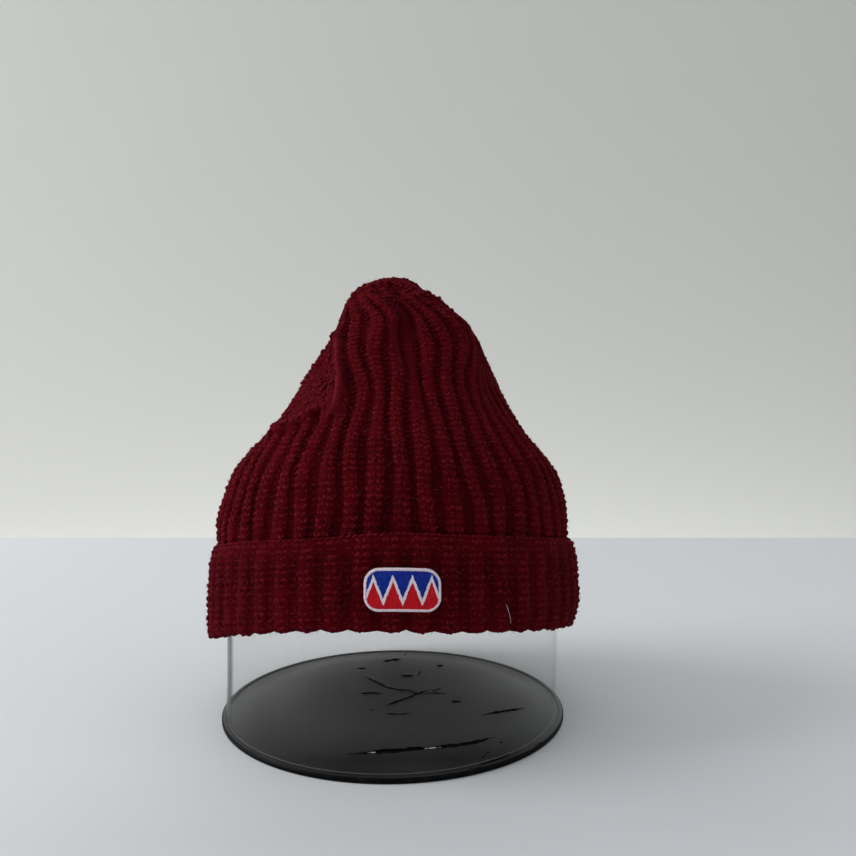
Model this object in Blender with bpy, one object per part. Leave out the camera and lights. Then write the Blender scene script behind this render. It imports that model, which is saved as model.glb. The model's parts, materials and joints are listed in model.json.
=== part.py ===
"""Rib-knit beanie with a turned-up cuff and a small patch, pulled over a clear tube on a round base.

Metres, +Z up. The origin is the centre of the base's underside, and the front of the hat looks along -Y.
A turn is an angle round the stand in degrees, 0 at the front and growing towards +X.
The hat sits tilted back: its hem and its cuff are higher in front than behind.
"""

import math
from collections import namedtuple

import bmesh
import bpy
import numpy as np

# Stand
TUBE_RADIUS = 0.0820
TUBE_WALL = 0.0009
TUBE_HEIGHT = 0.0953
BASE_LIP = 0.0030
BASE_THICKNESS = 0.0025
BASE_EDGE_ROUND = 0.0006
CLEARANCE = 0.0003
ROUND_STEPS = 64
SHARP_ANGLE = 50

# Knitted wall of the crown
RIBS = 48
CROWN_WALL = 0.0040
CROWN_RIB_DEPTH = 0.0017
CROWN_RIB_TURN = 2.2
CREST_SHARE = 0.54
RIB_DEPTH_PER_PITCH = 0.22
DOME_HEIGHT = 0.1232
TUBE_ROWS = 2
DOME_ROWS = 15
LINING_ROWS = 10

# Cuff
HEM_CLEARANCE = 0.0133
HEM_RISE = 0.0468
HEM_ROLL = 0.0010
HEM_FOLD = 0.0046
HEM_SCALLOP = 0.0012
CUFF_HEIGHT_FRONT = 0.0397
CUFF_HEIGHT_BACK = 0.0441
CUFF_WALL = 0.0040
CUFF_BULGE = 0.0060
CUFF_SNUG_LEFT = 0.20
CUFF_RIB_DEPTH = 0.0017
CUFF_RIB_TURN = -0.6

# Patch
PATCH_WIDTH = 0.0308
PATCH_HEIGHT = 0.0172
PATCH_THICKNESS = 0.0012
PATCH_CORNER = 0.0060
PATCH_TURN = 2.2
PATCH_UP = 0.46
PATCH_COLUMNS = 14
PATCH_ROWS = 4

# Sizes that follow from those above
BASE_RADIUS = TUBE_RADIUS + BASE_LIP
TUBE_FOOT = BASE_THICKNESS + CLEARANCE
DOME_FOOT = TUBE_FOOT + TUBE_HEIGHT + CLEARANCE
HAT_RADIUS = TUBE_RADIUS + CLEARANCE + CROWN_WALL
CUFF_INSIDE = HAT_RADIUS + CLEARANCE
PITCH_TURN = 360 / RIBS

# Sections of the crown above the tube, from its foot to its gathered top. Up is a share of the dome's
# height. The other lengths are shares of the hat's radius: half width, half depth, how far the section lies
# to the right and to the back, and how much higher its front is than its middle.
Section = namedtuple("Section", "up width depth aside back lift")
SECTIONS = [
    Section(0.000, 1.000, 1.000, 0.000, 0.000, 0.000),
    Section(0.090, 0.971, 0.980, 0.009, 0.002, 0.050),
    Section(0.171, 0.924, 0.930, 0.012, 0.012, 0.105),
    Section(0.244, 0.845, 0.848, 0.013, 0.030, 0.135),
    Section(0.309, 0.759, 0.752, 0.018, 0.050, 0.150),
    Section(0.382, 0.678, 0.668, 0.032, 0.075, 0.155),
    Section(0.463, 0.621, 0.605, 0.031, 0.105, 0.150),
    Section(0.553, 0.579, 0.552, 0.028, 0.142, 0.135),
    Section(0.650, 0.522, 0.496, 0.043, 0.184, 0.115),
    Section(0.740, 0.441, 0.432, 0.058, 0.222, 0.090),
    Section(0.813, 0.362, 0.368, 0.022, 0.250, 0.065),
    Section(0.875, 0.304, 0.305, 0.002, 0.270, 0.045),
    Section(0.923, 0.200, 0.220, -0.015, 0.282, 0.030),
    Section(0.957, 0.138, 0.140, 0.000, 0.288, 0.015),
    Section(0.980, 0.060, 0.062, 0.006, 0.290, 0.000),
]
GATHER_UP = 0.966
LINING_GATHER_UP = 0.920
LINING_SHARE = 0.87

# Folds that run up the crown. Each is a valley at a turn that moves from low to high between the two shares
# of the dome's height where it starts and where it is full. Its depth is a share of the section's radius, its
# spread is in degrees, and its ribs are those that the valley takes in on the way up. A negative depth is a
# ridge.
Fold = namedtuple("Fold", "turn_low turn_high start full depth spread ribs")
FOLDS = [
    Fold(9.0, 4.5, 0.30, 0.72, 0.150, 6.5, 1.0),
    Fold(-42.0, -76.0, 0.36, 0.72, 0.240, 9.0, 6.0),
    Fold(-30.0, -58.0, 0.36, 0.72, -0.030, 7.0, 0.0),
    Fold(52.0, 76.0, 0.34, 0.74, 0.170, 9.0, 5.0),
    Fold(118.0, 126.0, 0.24, 0.66, 0.200, 9.0, 4.0),
    Fold(182.0, 178.0, 0.20, 0.62, 0.180, 9.0, 4.0),
    Fold(-120.0, -128.0, 0.24, 0.66, 0.200, 9.0, 4.0),
]
FOLD_FADE_FROM = 0.84
STILL_TURN = 5.0
TURN_SAMPLES = 1441
NORMAL_STEP = 0.05

# Dents pressed into the crown: the turn and share of height of each one's middle, how far it reaches from
# there, its depth as a share of the section's radius, and how many degrees it leans over the dome's height
Dent = namedtuple("Dent", "turn half_turn up half_up depth lean")
DENTS = [
    Dent(-68.0, 31.0, 0.570, 0.200, 0.110, -70.0),
    Dent(48.0, 26.0, 0.420, 0.120, 0.035, 0.0),
    Dent(150.0, 34.0, 0.400, 0.150, 0.060, 0.0),
    Dent(-158.0, 28.0, 0.520, 0.160, 0.050, 0.0),
]
DENT_EDGE = 1.2

# Face of the cuff from its upper edge down to the hem: the share of the cuff's height, how far the face
# stands out from the crown as a share of the bulge, and how deep its grooves are as a share of the rib depth
CuffLevel = namedtuple("CuffLevel", "down out groove")
CUFF_LEVELS = [
    CuffLevel(0.000, 0.20, 0.10),
    CuffLevel(0.035, 0.42, 0.25),
    CuffLevel(0.130, 0.63, 0.40),
    CuffLevel(0.210, 0.76, 1.00),
    CuffLevel(0.450, 0.89, 1.00),
    CuffLevel(0.700, 0.97, 1.00),
    CuffLevel(0.880, 1.00, 0.85),
    CuffLevel(0.950, 0.95, 0.60),
]
FACE_FULL = 0.88

# The fold at the hem, from the cuff's face in to the tube: the share of the way across, the height as a
# share of the fold, and how deep the scallops are as a share of their depth
HemLevel = namedtuple("HemLevel", "across up scallop")
HEM_LEVELS = [
    HemLevel(0.11, 0.14, 0.7),
    HemLevel(0.28, 0.00, 1.0),
    HemLevel(0.62, 0.00, 1.0),
    HemLevel(0.88, 0.14, 0.5),
]
HEM_INSIDE_UP = 0.45

# Inside of the cuff above its hem: shares of the cuff's height below the upper edge
LINING_LEVELS = (0.70, 0.45, 0.21, 0.00)

# Waves of the cuff's two lines, beyond the tilt: where each one lies, its spread in degrees, and how much it
# raises the hem and the upper edge as shares of the cuff's height in front
Wave = namedtuple("Wave", "turn spread hem edge")
WAVES = [
    Wave(-85.0, 14.0, -0.055, 0.000),
    Wave(-24.0, 13.0, 0.041, -0.013),
    Wave(-1.0, 10.0, 0.023, 0.030),
    Wave(72.0, 11.0, 0.028, 0.036),
]


def remove_objects():
    for thing in list(bpy.data.objects):
        bpy.data.objects.remove(thing, do_unlink=True)


def material(name, colour, roughness, alpha=1.0):
    made = bpy.data.materials.new(name)
    made.use_nodes = True
    shader = made.node_tree.nodes["Principled BSDF"]
    shader.inputs["Base Color"].default_value = (*colour, 1.0)
    shader.inputs["Roughness"].default_value = roughness
    shader.inputs["Metallic"].default_value = 0.0
    shader.inputs["Alpha"].default_value = alpha
    return made


def add_object(name, bm, finish):
    """Turns a bmesh into an object of the scene, with its faces pointing out."""
    bmesh.ops.recalc_face_normals(bm, faces=bm.faces)
    mesh = bpy.data.meshes.new(name)
    bm.to_mesh(mesh)
    bm.free()
    mesh.materials.append(finish)
    mesh.shade_smooth()
    mesh.set_sharp_from_angle(angle=math.radians(SHARP_ANGLE))
    thing = bpy.data.objects.new(name, mesh)
    bpy.context.collection.objects.link(thing)
    return thing


def ease(value, low, high):
    """Rises smoothly from 0 at low to 1 at high."""
    share = min(max((value - low) / (high - low), 0.0), 1.0)
    return share * share * (3 - 2 * share)


def turn_gap(turns, centre):
    """Signed angles from a centre to the turns, from -180 to 180."""
    return (turns - centre + 180) % 360 - 180


def bell(turns, middle, spread):
    """How near each turn lies to a middle, from 0 to 1."""
    return np.exp(-0.5 * (turn_gap(turns, middle) / spread) ** 2)


def flat_sided(radius, sides):
    """Corner radius of a regular outline whose flat sides lie at a radius."""
    return radius / math.cos(math.pi / sides)


def between_rows(table, place):
    """Every column of a table at a place counted in rows, on a smooth curve through the rows."""
    columns = np.array(table, dtype=float)
    last = len(columns) - 1
    row = min(int(place), last - 1)
    share = place - row
    here, there = columns[row], columns[row + 1]
    before = columns[row - 1] if row > 0 else 2 * here - there
    after = columns[row + 2] if row + 2 <= last else 2 * there - here
    blend = 3 * share**2 - 2 * share**3
    leave = share - 2 * share**2 + share**3
    arrive = share**3 - share**2
    values = here + (there - here) * blend + (there - before) / 2 * leave + (after - here) / 2 * arrive
    return type(table[0])(*values)


def fold_strength(fold, up):
    return ease(up, fold.start, fold.full)


def fold_shape(fold, turns, up):
    """How near each turn lies to the middle of a fold, from 0 to 1."""
    middle = fold.turn_low + (fold.turn_high - fold.turn_low) * fold_strength(fold, up)
    return bell(turns, middle, fold.spread)


def rib_turns(places, up):
    """Turns of places counted in ribs on a section: even, but crowded where a fold takes ribs in."""
    samples = np.linspace(-180, 180, TURN_SAMPLES)
    taken = sum(fold.ribs * fold_strength(fold, up) for fold in FOLDS)
    crowd = np.full(TURN_SAMPLES, (RIBS - taken) / 360)
    for fold in FOLDS:
        share = fold.ribs * fold_strength(fold, up) / (fold.spread * math.sqrt(2 * math.pi))
        crowd += share * fold_shape(fold, samples, up)
    counted = np.concatenate([[0], np.cumsum((crowd[1:] + crowd[:-1]) / 2 * np.diff(samples))])
    counted *= RIBS / counted[-1]
    counted += (STILL_TURN - CROWN_RIB_TURN) / PITCH_TURN - np.interp(STILL_TURN, samples, counted)
    wrapped = (places - counted[0]) % RIBS + counted[0]
    return np.interp(wrapped, counted, samples)


def dome_points(turns, place):
    """Crests of the crown above the tube, on the section at a place counted in rows of the table."""
    section = between_rows(SECTIONS, place)
    fade = 1 - ease(section.up, FOLD_FADE_FROM, 1.0)
    reach = np.ones(len(turns))
    for fold in FOLDS:
        reach -= fold.depth * fold_strength(fold, section.up) * fade * fold_shape(fold, turns, section.up)
    for dent in DENTS:
        middle = dent.turn + dent.lean * (section.up - dent.up)
        across = turn_gap(turns, middle) / dent.half_turn
        along = (section.up - dent.up) / dent.half_up
        reach -= dent.depth * np.clip(1 - across**2 - along**2, 0, 1) ** DENT_EDGE
    sine, cosine = np.sin(np.radians(turns)), np.cos(np.radians(turns))
    right = section.aside + section.width * reach * sine
    back = section.back - section.depth * reach * cosine
    up = section.lift * reach * cosine
    return np.stack([HAT_RADIUS * right, HAT_RADIUS * back,
                     DOME_FOOT + DOME_HEIGHT * section.up + HAT_RADIUS * up], axis=-1)


def dome_normals(turns, place):
    """Directions that point out of the crown at the same points."""
    last = len(SECTIONS) - 1
    above, below = min(place + NORMAL_STEP, last), max(place - NORMAL_STEP, 0)
    rising = dome_points(turns, above) - dome_points(turns, below)
    along = dome_points(turns + NORMAL_STEP, place) - dome_points(turns - NORMAL_STEP, place)
    normals = np.cross(along, rising)
    return normals / np.linalg.norm(normals, axis=1, keepdims=True)


def rib_columns():
    """Places of each rib's two crest edges and of the groove after it, in ribs, and which are grooves."""
    offsets = (-CREST_SHARE / 2, CREST_SHARE / 2, 0.5)
    places = np.array([rib + offset for rib in range(RIBS) for offset in offsets])
    return places, np.tile([0.0, 0.0, 1.0], RIBS)


def on_cylinder(turns, radii, heights):
    sine, cosine = np.sin(np.radians(turns)), np.cos(np.radians(turns))
    return np.stack([radii * sine, -radii * cosine, heights + 0 * sine], axis=-1)


def wave_height(turns, shares):
    """What the waves add to a line of the cuff, with each wave's share of it."""
    bells = [share * bell(turns, wave.turn, wave.spread) for share, wave in zip(shares, WAVES)]
    return CUFF_HEIGHT_FRONT * sum(bells)


def hem_tilt(turns):
    """Height of the hem's lowest line without its waves."""
    sine, cosine = np.sin(np.radians(turns)), np.cos(np.radians(turns))
    return BASE_THICKNESS + HEM_CLEARANCE + HEM_RISE * (1 + cosine) / 2 + HEM_ROLL * (1 + sine) / 2


def hem_height(turns):
    """Height of the hem's lowest line round the stand."""
    return hem_tilt(turns) + wave_height(turns, [wave.hem for wave in WAVES])


def cuff_height(turns):
    """Height of the cuff's upper edge above its hem."""
    front = (1 + np.cos(np.radians(turns))) / 2
    even = CUFF_HEIGHT_BACK + (CUFF_HEIGHT_FRONT - CUFF_HEIGHT_BACK) * front
    return even + wave_height(turns, [wave.edge - wave.hem for wave in WAVES])


def add_ring(bm, points):
    return [bm.verts.new(point) for point in points]


def join_rings(bm, rings):
    """Faces between neighbouring rings of equally many corners."""
    for first, second in zip(rings, rings[1:]):
        for i, corner in enumerate(first):
            j = (i + 1) % len(first)
            bm.faces.new((corner, first[j], second[j], second[i]))


def join_three_to_one(bm, many, few):
    """Faces between a ring with three corners in each rib and a ring with one."""
    for i, corner in enumerate(few):
        following = few[(i + 1) % len(few)]
        left, right, groove = many[3 * i : 3 * i + 3]
        bm.faces.new((left, right, corner))
        bm.faces.new((right, groove, corner))
        bm.faces.new((groove, following, corner))
        bm.faces.new((groove, many[(3 * i + 3) % len(many)], following))


def close_ring(bm, ring, top):
    """A fan from a ring to one point."""
    pole = bm.verts.new(top)
    for i, corner in enumerate(ring):
        bm.faces.new((corner, ring[(i + 1) % len(ring)], pole))


def crown_ring(places, grooves, place):
    """Ribbed outside of the crown on one section of the dome."""
    turns = rib_turns(places, between_rows(SECTIONS, place).up)
    crests = dome_points(turns, place)
    pitch = np.linalg.norm(np.roll(crests, -3, axis=0) - crests, axis=1)
    depth = grooves * np.minimum(CROWN_RIB_DEPTH, RIB_DEPTH_PER_PITCH * pitch)
    return crests - dome_normals(turns, place) * depth[:, None]


def gather_point(up):
    """The point where the ribs meet, on the line of the topmost section."""
    top = SECTIONS[-1]
    return (HAT_RADIUS * top.aside, HAT_RADIUS * top.back, DOME_FOOT + DOME_HEIGHT * up)


def make_crown(finish):
    bm = bmesh.new()
    last = len(SECTIONS) - 1
    places, grooves = rib_columns()
    turns = rib_turns(places, 0.0)
    low = hem_height(turns) + HEM_FOLD + CLEARANCE
    outside = []
    for row in range(TUBE_ROWS):
        heights = low + (DOME_FOOT - low) * row / TUBE_ROWS
        outside.append(add_ring(bm, on_cylinder(turns, HAT_RADIUS - CROWN_RIB_DEPTH * grooves, heights)))
    for row in range(DOME_ROWS):
        outside.append(add_ring(bm, crown_ring(places, grooves, last * row / DOME_ROWS)))
    join_rings(bm, outside)
    middles = np.arange(RIBS, dtype=float)
    top_turns = rib_turns(middles, SECTIONS[-1].up)
    top = add_ring(bm, dome_points(top_turns, last))
    join_three_to_one(bm, outside[-1], top)
    close_ring(bm, top, gather_point(GATHER_UP))

    turns = rib_turns(middles, 0.0)
    low = hem_height(turns) + HEM_FOLD + CLEARANCE
    inside = [add_ring(bm, on_cylinder(turns, flat_sided(TUBE_RADIUS + CLEARANCE, RIBS), low))]
    for row in range(LINING_ROWS + 1):
        place = last * LINING_SHARE * row / LINING_ROWS
        turns = rib_turns(middles, between_rows(SECTIONS, place).up)
        inside.append(add_ring(bm, dome_points(turns, place) - CROWN_WALL * dome_normals(turns, place)))
    join_rings(bm, inside)
    close_ring(bm, inside[-1], gather_point(LINING_GATHER_UP))
    join_three_to_one(bm, outside[0], inside[0])
    return add_object("crown", bm, finish)


def cuff_reach(turns, down):
    """How far the cuff's rib crests stand out from its inside, at a share of its height below its edge."""
    left = (1 - np.sin(np.radians(turns))) / 2
    shares = [level.down for level in CUFF_LEVELS]
    out = np.interp(down, shares, [level.out for level in CUFF_LEVELS])
    return CUFF_BULGE * (1 - CUFF_SNUG_LEFT * left) * out


def make_cuff(finish):
    bm = bmesh.new()
    places, grooves = rib_columns()
    turns = places * PITCH_TURN + CUFF_RIB_TURN
    hem, height = hem_height(turns), cuff_height(turns)
    outside = []
    for level in CUFF_LEVELS:
        radii = CUFF_INSIDE + cuff_reach(turns, level.down) - CUFF_RIB_DEPTH * level.groove * grooves
        outside.append(add_ring(bm, on_cylinder(turns, radii, hem + height * (1 - level.down))))
    inner = flat_sided(TUBE_RADIUS + CLEARANCE, RIBS)
    face = CUFF_INSIDE + cuff_reach(turns, FACE_FULL)
    for level in HEM_LEVELS:
        heights = hem + HEM_FOLD * level.up + HEM_SCALLOP * level.scallop * grooves
        outside.append(add_ring(bm, on_cylinder(turns, face + (inner - face) * level.across, heights)))
    join_rings(bm, outside)

    turns = np.arange(RIBS) * PITCH_TURN + CUFF_RIB_TURN
    hem, height = hem_height(turns), cuff_height(turns)
    inside = [
        add_ring(bm, on_cylinder(turns, inner, hem + HEM_FOLD * HEM_INSIDE_UP)),
        add_ring(bm, on_cylinder(turns, inner, hem + HEM_FOLD)),
    ]
    floor = 1 - HEM_FOLD / height
    for down in (floor, *LINING_LEVELS):
        air = np.maximum(cuff_reach(turns, down) - CUFF_WALL, 0.0)
        radii = flat_sided(CUFF_INSIDE + air, RIBS)
        inside.append(add_ring(bm, on_cylinder(turns, radii, hem + height * (1 - down))))
    join_rings(bm, inside)
    join_three_to_one(bm, outside[-1], inside[0])
    join_three_to_one(bm, outside[0], inside[-1])
    return add_object("cuff", bm, finish)


def make_patch(finish):
    """A thin plate with round corners, bent round the crests of the cuff's ribs."""
    bm = bmesh.new()
    half_width, half_height = PATCH_WIDTH / 2, PATCH_HEIGHT / 2
    layers = []
    for thickness in (0.0, PATCH_THICKNESS):
        grid = []
        for column in range(PATCH_COLUMNS + 1):
            across = -half_width * math.cos(math.pi * column / PATCH_COLUMNS)
            past = max(abs(across) - (half_width - PATCH_CORNER), 0.0)
            reach = half_height - PATCH_CORNER + math.sqrt(max(PATCH_CORNER**2 - past**2, 0.0))
            ups = reach * np.linspace(-1, 1, PATCH_ROWS + 1)
            radius = CUFF_INSIDE + CUFF_BULGE
            turns = np.full(PATCH_ROWS + 1, PATCH_TURN + math.degrees(across / radius))
            shares = PATCH_UP + ups / cuff_height(turns)
            radii = CUFF_INSIDE + cuff_reach(turns, 1 - shares) + CLEARANCE + thickness
            heights = hem_height(turns) + cuff_height(turns) * shares
            grid.append(add_ring(bm, on_cylinder(turns, radii, heights)))
        layers.append(grid)
        for left, right in zip(grid, grid[1:]):
            for row in range(PATCH_ROWS):
                bm.faces.new((left[row], right[row], right[row + 1], left[row + 1]))
    back, front = layers
    rims = []
    for grid in (back, front):
        lower = [column[0] for column in grid]
        upper = [column[-1] for column in reversed(grid)]
        rims.append(lower + grid[-1][1:-1] + upper + grid[0][-2:0:-1])
    join_rings(bm, rims)
    return add_object("patch", bm, finish)


def make_tube(finish):
    bm = bmesh.new()
    bmesh.ops.create_cone(bm, cap_ends=False, segments=ROUND_STEPS, depth=TUBE_HEIGHT,
                          radius1=TUBE_RADIUS, radius2=TUBE_RADIUS)
    tube = add_object("stand_tube", bm, finish)
    tube.location.z = TUBE_FOOT + TUBE_HEIGHT / 2
    wall = tube.modifiers.new("wall", "SOLIDIFY")
    wall.thickness = TUBE_WALL
    wall.offset = -1
    wall.use_even_offset = True
    return tube


def make_base(finish):
    bm = bmesh.new()
    bmesh.ops.create_cone(bm, cap_ends=True, segments=ROUND_STEPS, depth=BASE_THICKNESS,
                          radius1=BASE_RADIUS, radius2=BASE_RADIUS)
    base = add_object("stand_base", bm, finish)
    base.location.z = BASE_THICKNESS / 2
    edge = base.modifiers.new("round edge", "BEVEL")
    edge.width = BASE_EDGE_ROUND
    edge.segments = 2
    edge.limit_method = "ANGLE"
    return base


def main():
    remove_objects()
    knit = material("burgundy knit", (0.105, 0.010, 0.018), 0.9)
    stitched = material("stitched patch", (0.060, 0.100, 0.240), 0.6)
    clear = material("clear sheet", (0.90, 0.92, 0.93), 0.08, alpha=0.25)
    black = material("black gloss", (0.012, 0.012, 0.013), 0.12)
    make_crown(knit)
    make_cuff(knit)
    make_patch(stitched)
    make_tube(clear)
    make_base(black)


main()
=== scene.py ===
"""Looks of the rib-knit beanie on its clear tube and round black base.

Metres, +Z up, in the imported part's frame: the origin is the centre of the base's underside, and the front of
the hat looks along -Y. A turn is an angle round the stand in degrees, 0 at the front and growing towards +X.
A place is a distance round the cloth counted in ribs. A level is a height on the crown counted in rows of
its table of sections, from -1 at its hem over 0 at the top of the tube to the last row at its gathered top.
"""

import json
import math
from collections import namedtuple

import bmesh
import bpy
import numpy as np
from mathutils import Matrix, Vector

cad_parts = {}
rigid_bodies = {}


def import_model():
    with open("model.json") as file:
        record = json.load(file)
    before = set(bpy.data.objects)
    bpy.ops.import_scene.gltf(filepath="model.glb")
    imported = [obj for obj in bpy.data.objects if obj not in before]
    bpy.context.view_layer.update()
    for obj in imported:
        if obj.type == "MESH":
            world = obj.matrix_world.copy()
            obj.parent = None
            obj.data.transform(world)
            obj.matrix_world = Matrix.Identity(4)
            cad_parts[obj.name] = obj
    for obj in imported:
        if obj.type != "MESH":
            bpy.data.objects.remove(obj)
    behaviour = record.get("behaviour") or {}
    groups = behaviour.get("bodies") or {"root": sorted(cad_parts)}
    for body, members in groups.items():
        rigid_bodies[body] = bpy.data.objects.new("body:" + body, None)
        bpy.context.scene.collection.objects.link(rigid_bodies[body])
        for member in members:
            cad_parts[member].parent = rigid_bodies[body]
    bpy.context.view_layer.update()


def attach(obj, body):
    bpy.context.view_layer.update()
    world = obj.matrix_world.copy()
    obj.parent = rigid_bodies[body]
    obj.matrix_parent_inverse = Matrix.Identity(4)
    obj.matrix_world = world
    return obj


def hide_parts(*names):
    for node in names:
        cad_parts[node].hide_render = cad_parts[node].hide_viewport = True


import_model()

# Stand
TUBE_RADIUS = 0.0820
TUBE_WALL = 0.0009
TUBE_HEIGHT = 0.0953
TUBE_SIDES = 192
TUBE_SHARP_ANGLE = 30
FOOT_SHIFT = 0.0012
FOOT_SHIFT_UP = 0.036
FOOT_RINGS = (0.25, 0.5, 1.0)
BASE_LIP = 0.0030
BASE_THICKNESS = 0.0025
BASE_SHARP_ANGLE = 40
SIDE_BANDS = 3
DISC_SINK = 0.0001
DISC_RINGS = (0.8, 0.6, 0.4, 0.2)
CLEARANCE = 0.0003

# Knitted walls
RIBS = 48
CROWN_WALL = 0.0040
DOME_HEIGHT = 0.1232
HEM_CLEARANCE = 0.0133
HEM_RISE = 0.0468
HEM_ROLL = 0.0010
HEM_FOLD = 0.0046
HEM_SCALLOP = 0.0007
CUFF_HEIGHT_FRONT = 0.0397
CUFF_HEIGHT_BACK = 0.0441
CUFF_WALL = 0.0040
CUFF_BULGE = 0.0060
CUFF_SNUG_LEFT = 0.20
CUFF_RIB_TURN = -0.6
CUFF_TUCK = 0.0030
CUFF_TUCK_FROM = 0.70
CUFF_TUCK_TURN = 88.0
CUFF_TUCK_SPREAD = 32.0
SCALLOP_EVEN = 0.8
SCALLOP_UNEVEN = 0.25
SCALLOP_WAVES = (17, 29)
SCALLOP_RECESS = 0.5
CUFF_EDGE_ROUND = 0.6
LINING_RELIEF = 0.0006
WALL_ROWS_LOW = 4
WALL_ROWS = 64
LINING_ROWS = 18
CUFF_WALL_ROWS = 40
CROWN_SAMPLES_LOW = 8
CROWN_SAMPLES = 141
CUFF_SAMPLES = 90

# Yarn and stitches
YARN_RADIUS = 0.00084
STRAND_UPWARD = (0.3, 0.2, 1.0)
STRAND_TIP = 0.6
STITCH_ROWS = 68
CUFF_ROWS = 15
CUFF_ROWS_UNDER = 2
CUFF_STITCHES_FROM = 0.35
STITCH_WIDTH = 0.0030
STITCH_HEIGHT = 0.0028
STITCH_RECESS = 0.00082
STITCH_SHARE = 0.295
STITCH_PLACE = 0.148
STITCH_ROLL = 0.26
STITCH_SIDES = 6
STITCH_SHIFT = 0.00014
STITCH_STRAY = 1.7
STITCH_TILT = 0.24
STITCH_UNEVEN = 0.18
RIB_SWAY = 0.5
SWAY_WAVES = ((19, 14), (7, -23))
TUMBLE = 2.0
STITCH_FLATTEST = 0.6
SINGLE_RECESS = 0.00035
SINGLE_PITCH = 0.0066
SINGLE_SHARE = 0.52
SINGLE_SHARE_PRESSED = 0.30
SINGLE_NARROWEST = 0.0012
SINGLE_WIDEST = 0.0040
WALL_RECESS = 0.00038
PRESSED_RECESS = 0.00045
RECESS_PER_PITCH = 0.3
RIB_PITCH = 0.0113
GROOVE_DEPTH = 0.0021
GROOVE_PER_PITCH = 0.22
GROOVE_FROM = 0.20
GROOVE_FULL = 0.41
PURL_RECESS = 0.0026
CUFF_GROOVE_SHARE = 0.65
PURL_WIDTH = 0.0034
EDGE_LOOPS = 4
EDGE_LOOP_RADIUS = 0.00048
EDGE_LOOP_LIFT = 0.0003
EDGE_OVERLAP = 0.0035

# How much shade is painted into the yarn's colour, from 0 to 1: the least on each wall, what a groove of the
# cuff adds, and the cuff's stitches and purls
CROWN_WALL_PAINTED_SHADE = 0.3
CUFF_WALL_PAINTED_SHADE = 0.45
CUFF_GROOVE_PAINTED_SHADE = 0.5
CUFF_STITCH_PAINTED_SHADE = 0.25
CUFF_PURL_PAINTED_SHADE = 0.8

# Loose fibres: their number, shortest and longest in millimetres, lean in radians, how deep their roots lie
# under the crests, how far above the cuff's edge those of the crown start, and the surfaces that they stand
# on: the rows of each, the level where the crown's starts and the place where the cuff's ends
FIBRES_PER_SQUARE_METRE = 85000.0
FIBRE_SHORTEST = 0.6
FIBRE_LONGEST = 2.0
FIBRE_LEAN = 1.1
FIBRE_ROOT = 0.0004
FIBRE_START = 0.0005
CROWN_FIBRE_ROWS = 60
CROWN_FIBRES_FROM = -0.5
CUFF_FIBRE_ROWS = 20
CUFF_FIBRES_TO = 0.3

# Patch
PATCH_WIDTH = 0.0308
PATCH_HEIGHT = 0.0172
PATCH_THICKNESS = 0.0012
PATCH_CORNER = 0.0060
PATCH_TURN = 2.2
PATCH_UP = 0.46
PATCH_BORDER = 0.0011
PATCH_THREAD = 0.00042
PATCH_TEETH = 4
PATCH_ROWS = 41
COLUMNS_PER_THREAD = 4
PATCH_INSET = 0.0002
PATCH_FACE_SHARE = 0.62
PATCH_SWELL_SHARE = 0.22
PATCH_SWELL_REACH = 0.003
THREAD_RELIEF = 0.00024
CORNER_STEPS = 8

# Sizes that follow from those above
BASE_RADIUS = TUBE_RADIUS + BASE_LIP
TUBE_FOOT = BASE_THICKNESS + CLEARANCE
DOME_FOOT = TUBE_FOOT + TUBE_HEIGHT + CLEARANCE
HAT_RADIUS = TUBE_RADIUS + CLEARANCE + CROWN_WALL
CUFF_INSIDE = HAT_RADIUS + CLEARANCE
PITCH_TURN = 360 / RIBS
PATCH_THREADS = int(PATCH_WIDTH / PATCH_THREAD)

# Camera
CAMERA_PLACE = (0.0, -0.4278, 0.1641)
CAMERA_DOWN = 2.99
CAMERA_RIGHT = 2.32
SENSOR = 36.0
FOCAL_SHARE = 857 / 856

# Sections of the crown above the tube. Up is a share of the dome's height, and the others are shares of the
# hat's radius: half width, half depth, how far the section lies to the right and to the back, and how much
# higher its front is than its middle. Rib is the turn at which the middle rib of the front crosses it.
Section = namedtuple("Section", "up width depth aside back lift rib")
SECTIONS = [
    Section(0.000, 1.000, 1.000, 0.000, 0.000, 0.000, 2.2),
    Section(0.090, 0.971, 0.980, 0.009, 0.002, 0.050, 1.8),
    Section(0.171, 0.924, 0.930, 0.012, 0.012, 0.105, 1.2),
    Section(0.244, 0.845, 0.848, 0.013, 0.030, 0.135, 0.7),
    Section(0.309, 0.759, 0.752, 0.018, 0.050, 0.150, 0.3),
    Section(0.382, 0.678, 0.668, 0.032, 0.075, 0.155, -0.6),
    Section(0.463, 0.621, 0.605, 0.031, 0.105, 0.150, -1.0),
    Section(0.553, 0.579, 0.552, 0.028, 0.142, 0.135, -1.4),
    Section(0.650, 0.522, 0.496, 0.043, 0.184, 0.115, -3.6),
    Section(0.740, 0.449, 0.432, 0.066, 0.222, 0.090, -8.5),
    Section(0.813, 0.374, 0.368, 0.034, 0.250, 0.065, -16.0),
    Section(0.875, 0.312, 0.305, 0.010, 0.270, 0.045, -25.0),
    Section(0.923, 0.212, 0.220, -0.019, 0.282, 0.030, -33.0),
    Section(0.957, 0.146, 0.140, -0.004, 0.288, 0.015, -40.0),
    Section(0.980, 0.060, 0.062, 0.006, 0.290, 0.000, -44.0),
]
LAST_LEVEL = len(SECTIONS) - 1
GATHER_UP = 0.966
LINING_GATHER_UP = 0.920
LINING_SHARE = 0.87

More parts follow.
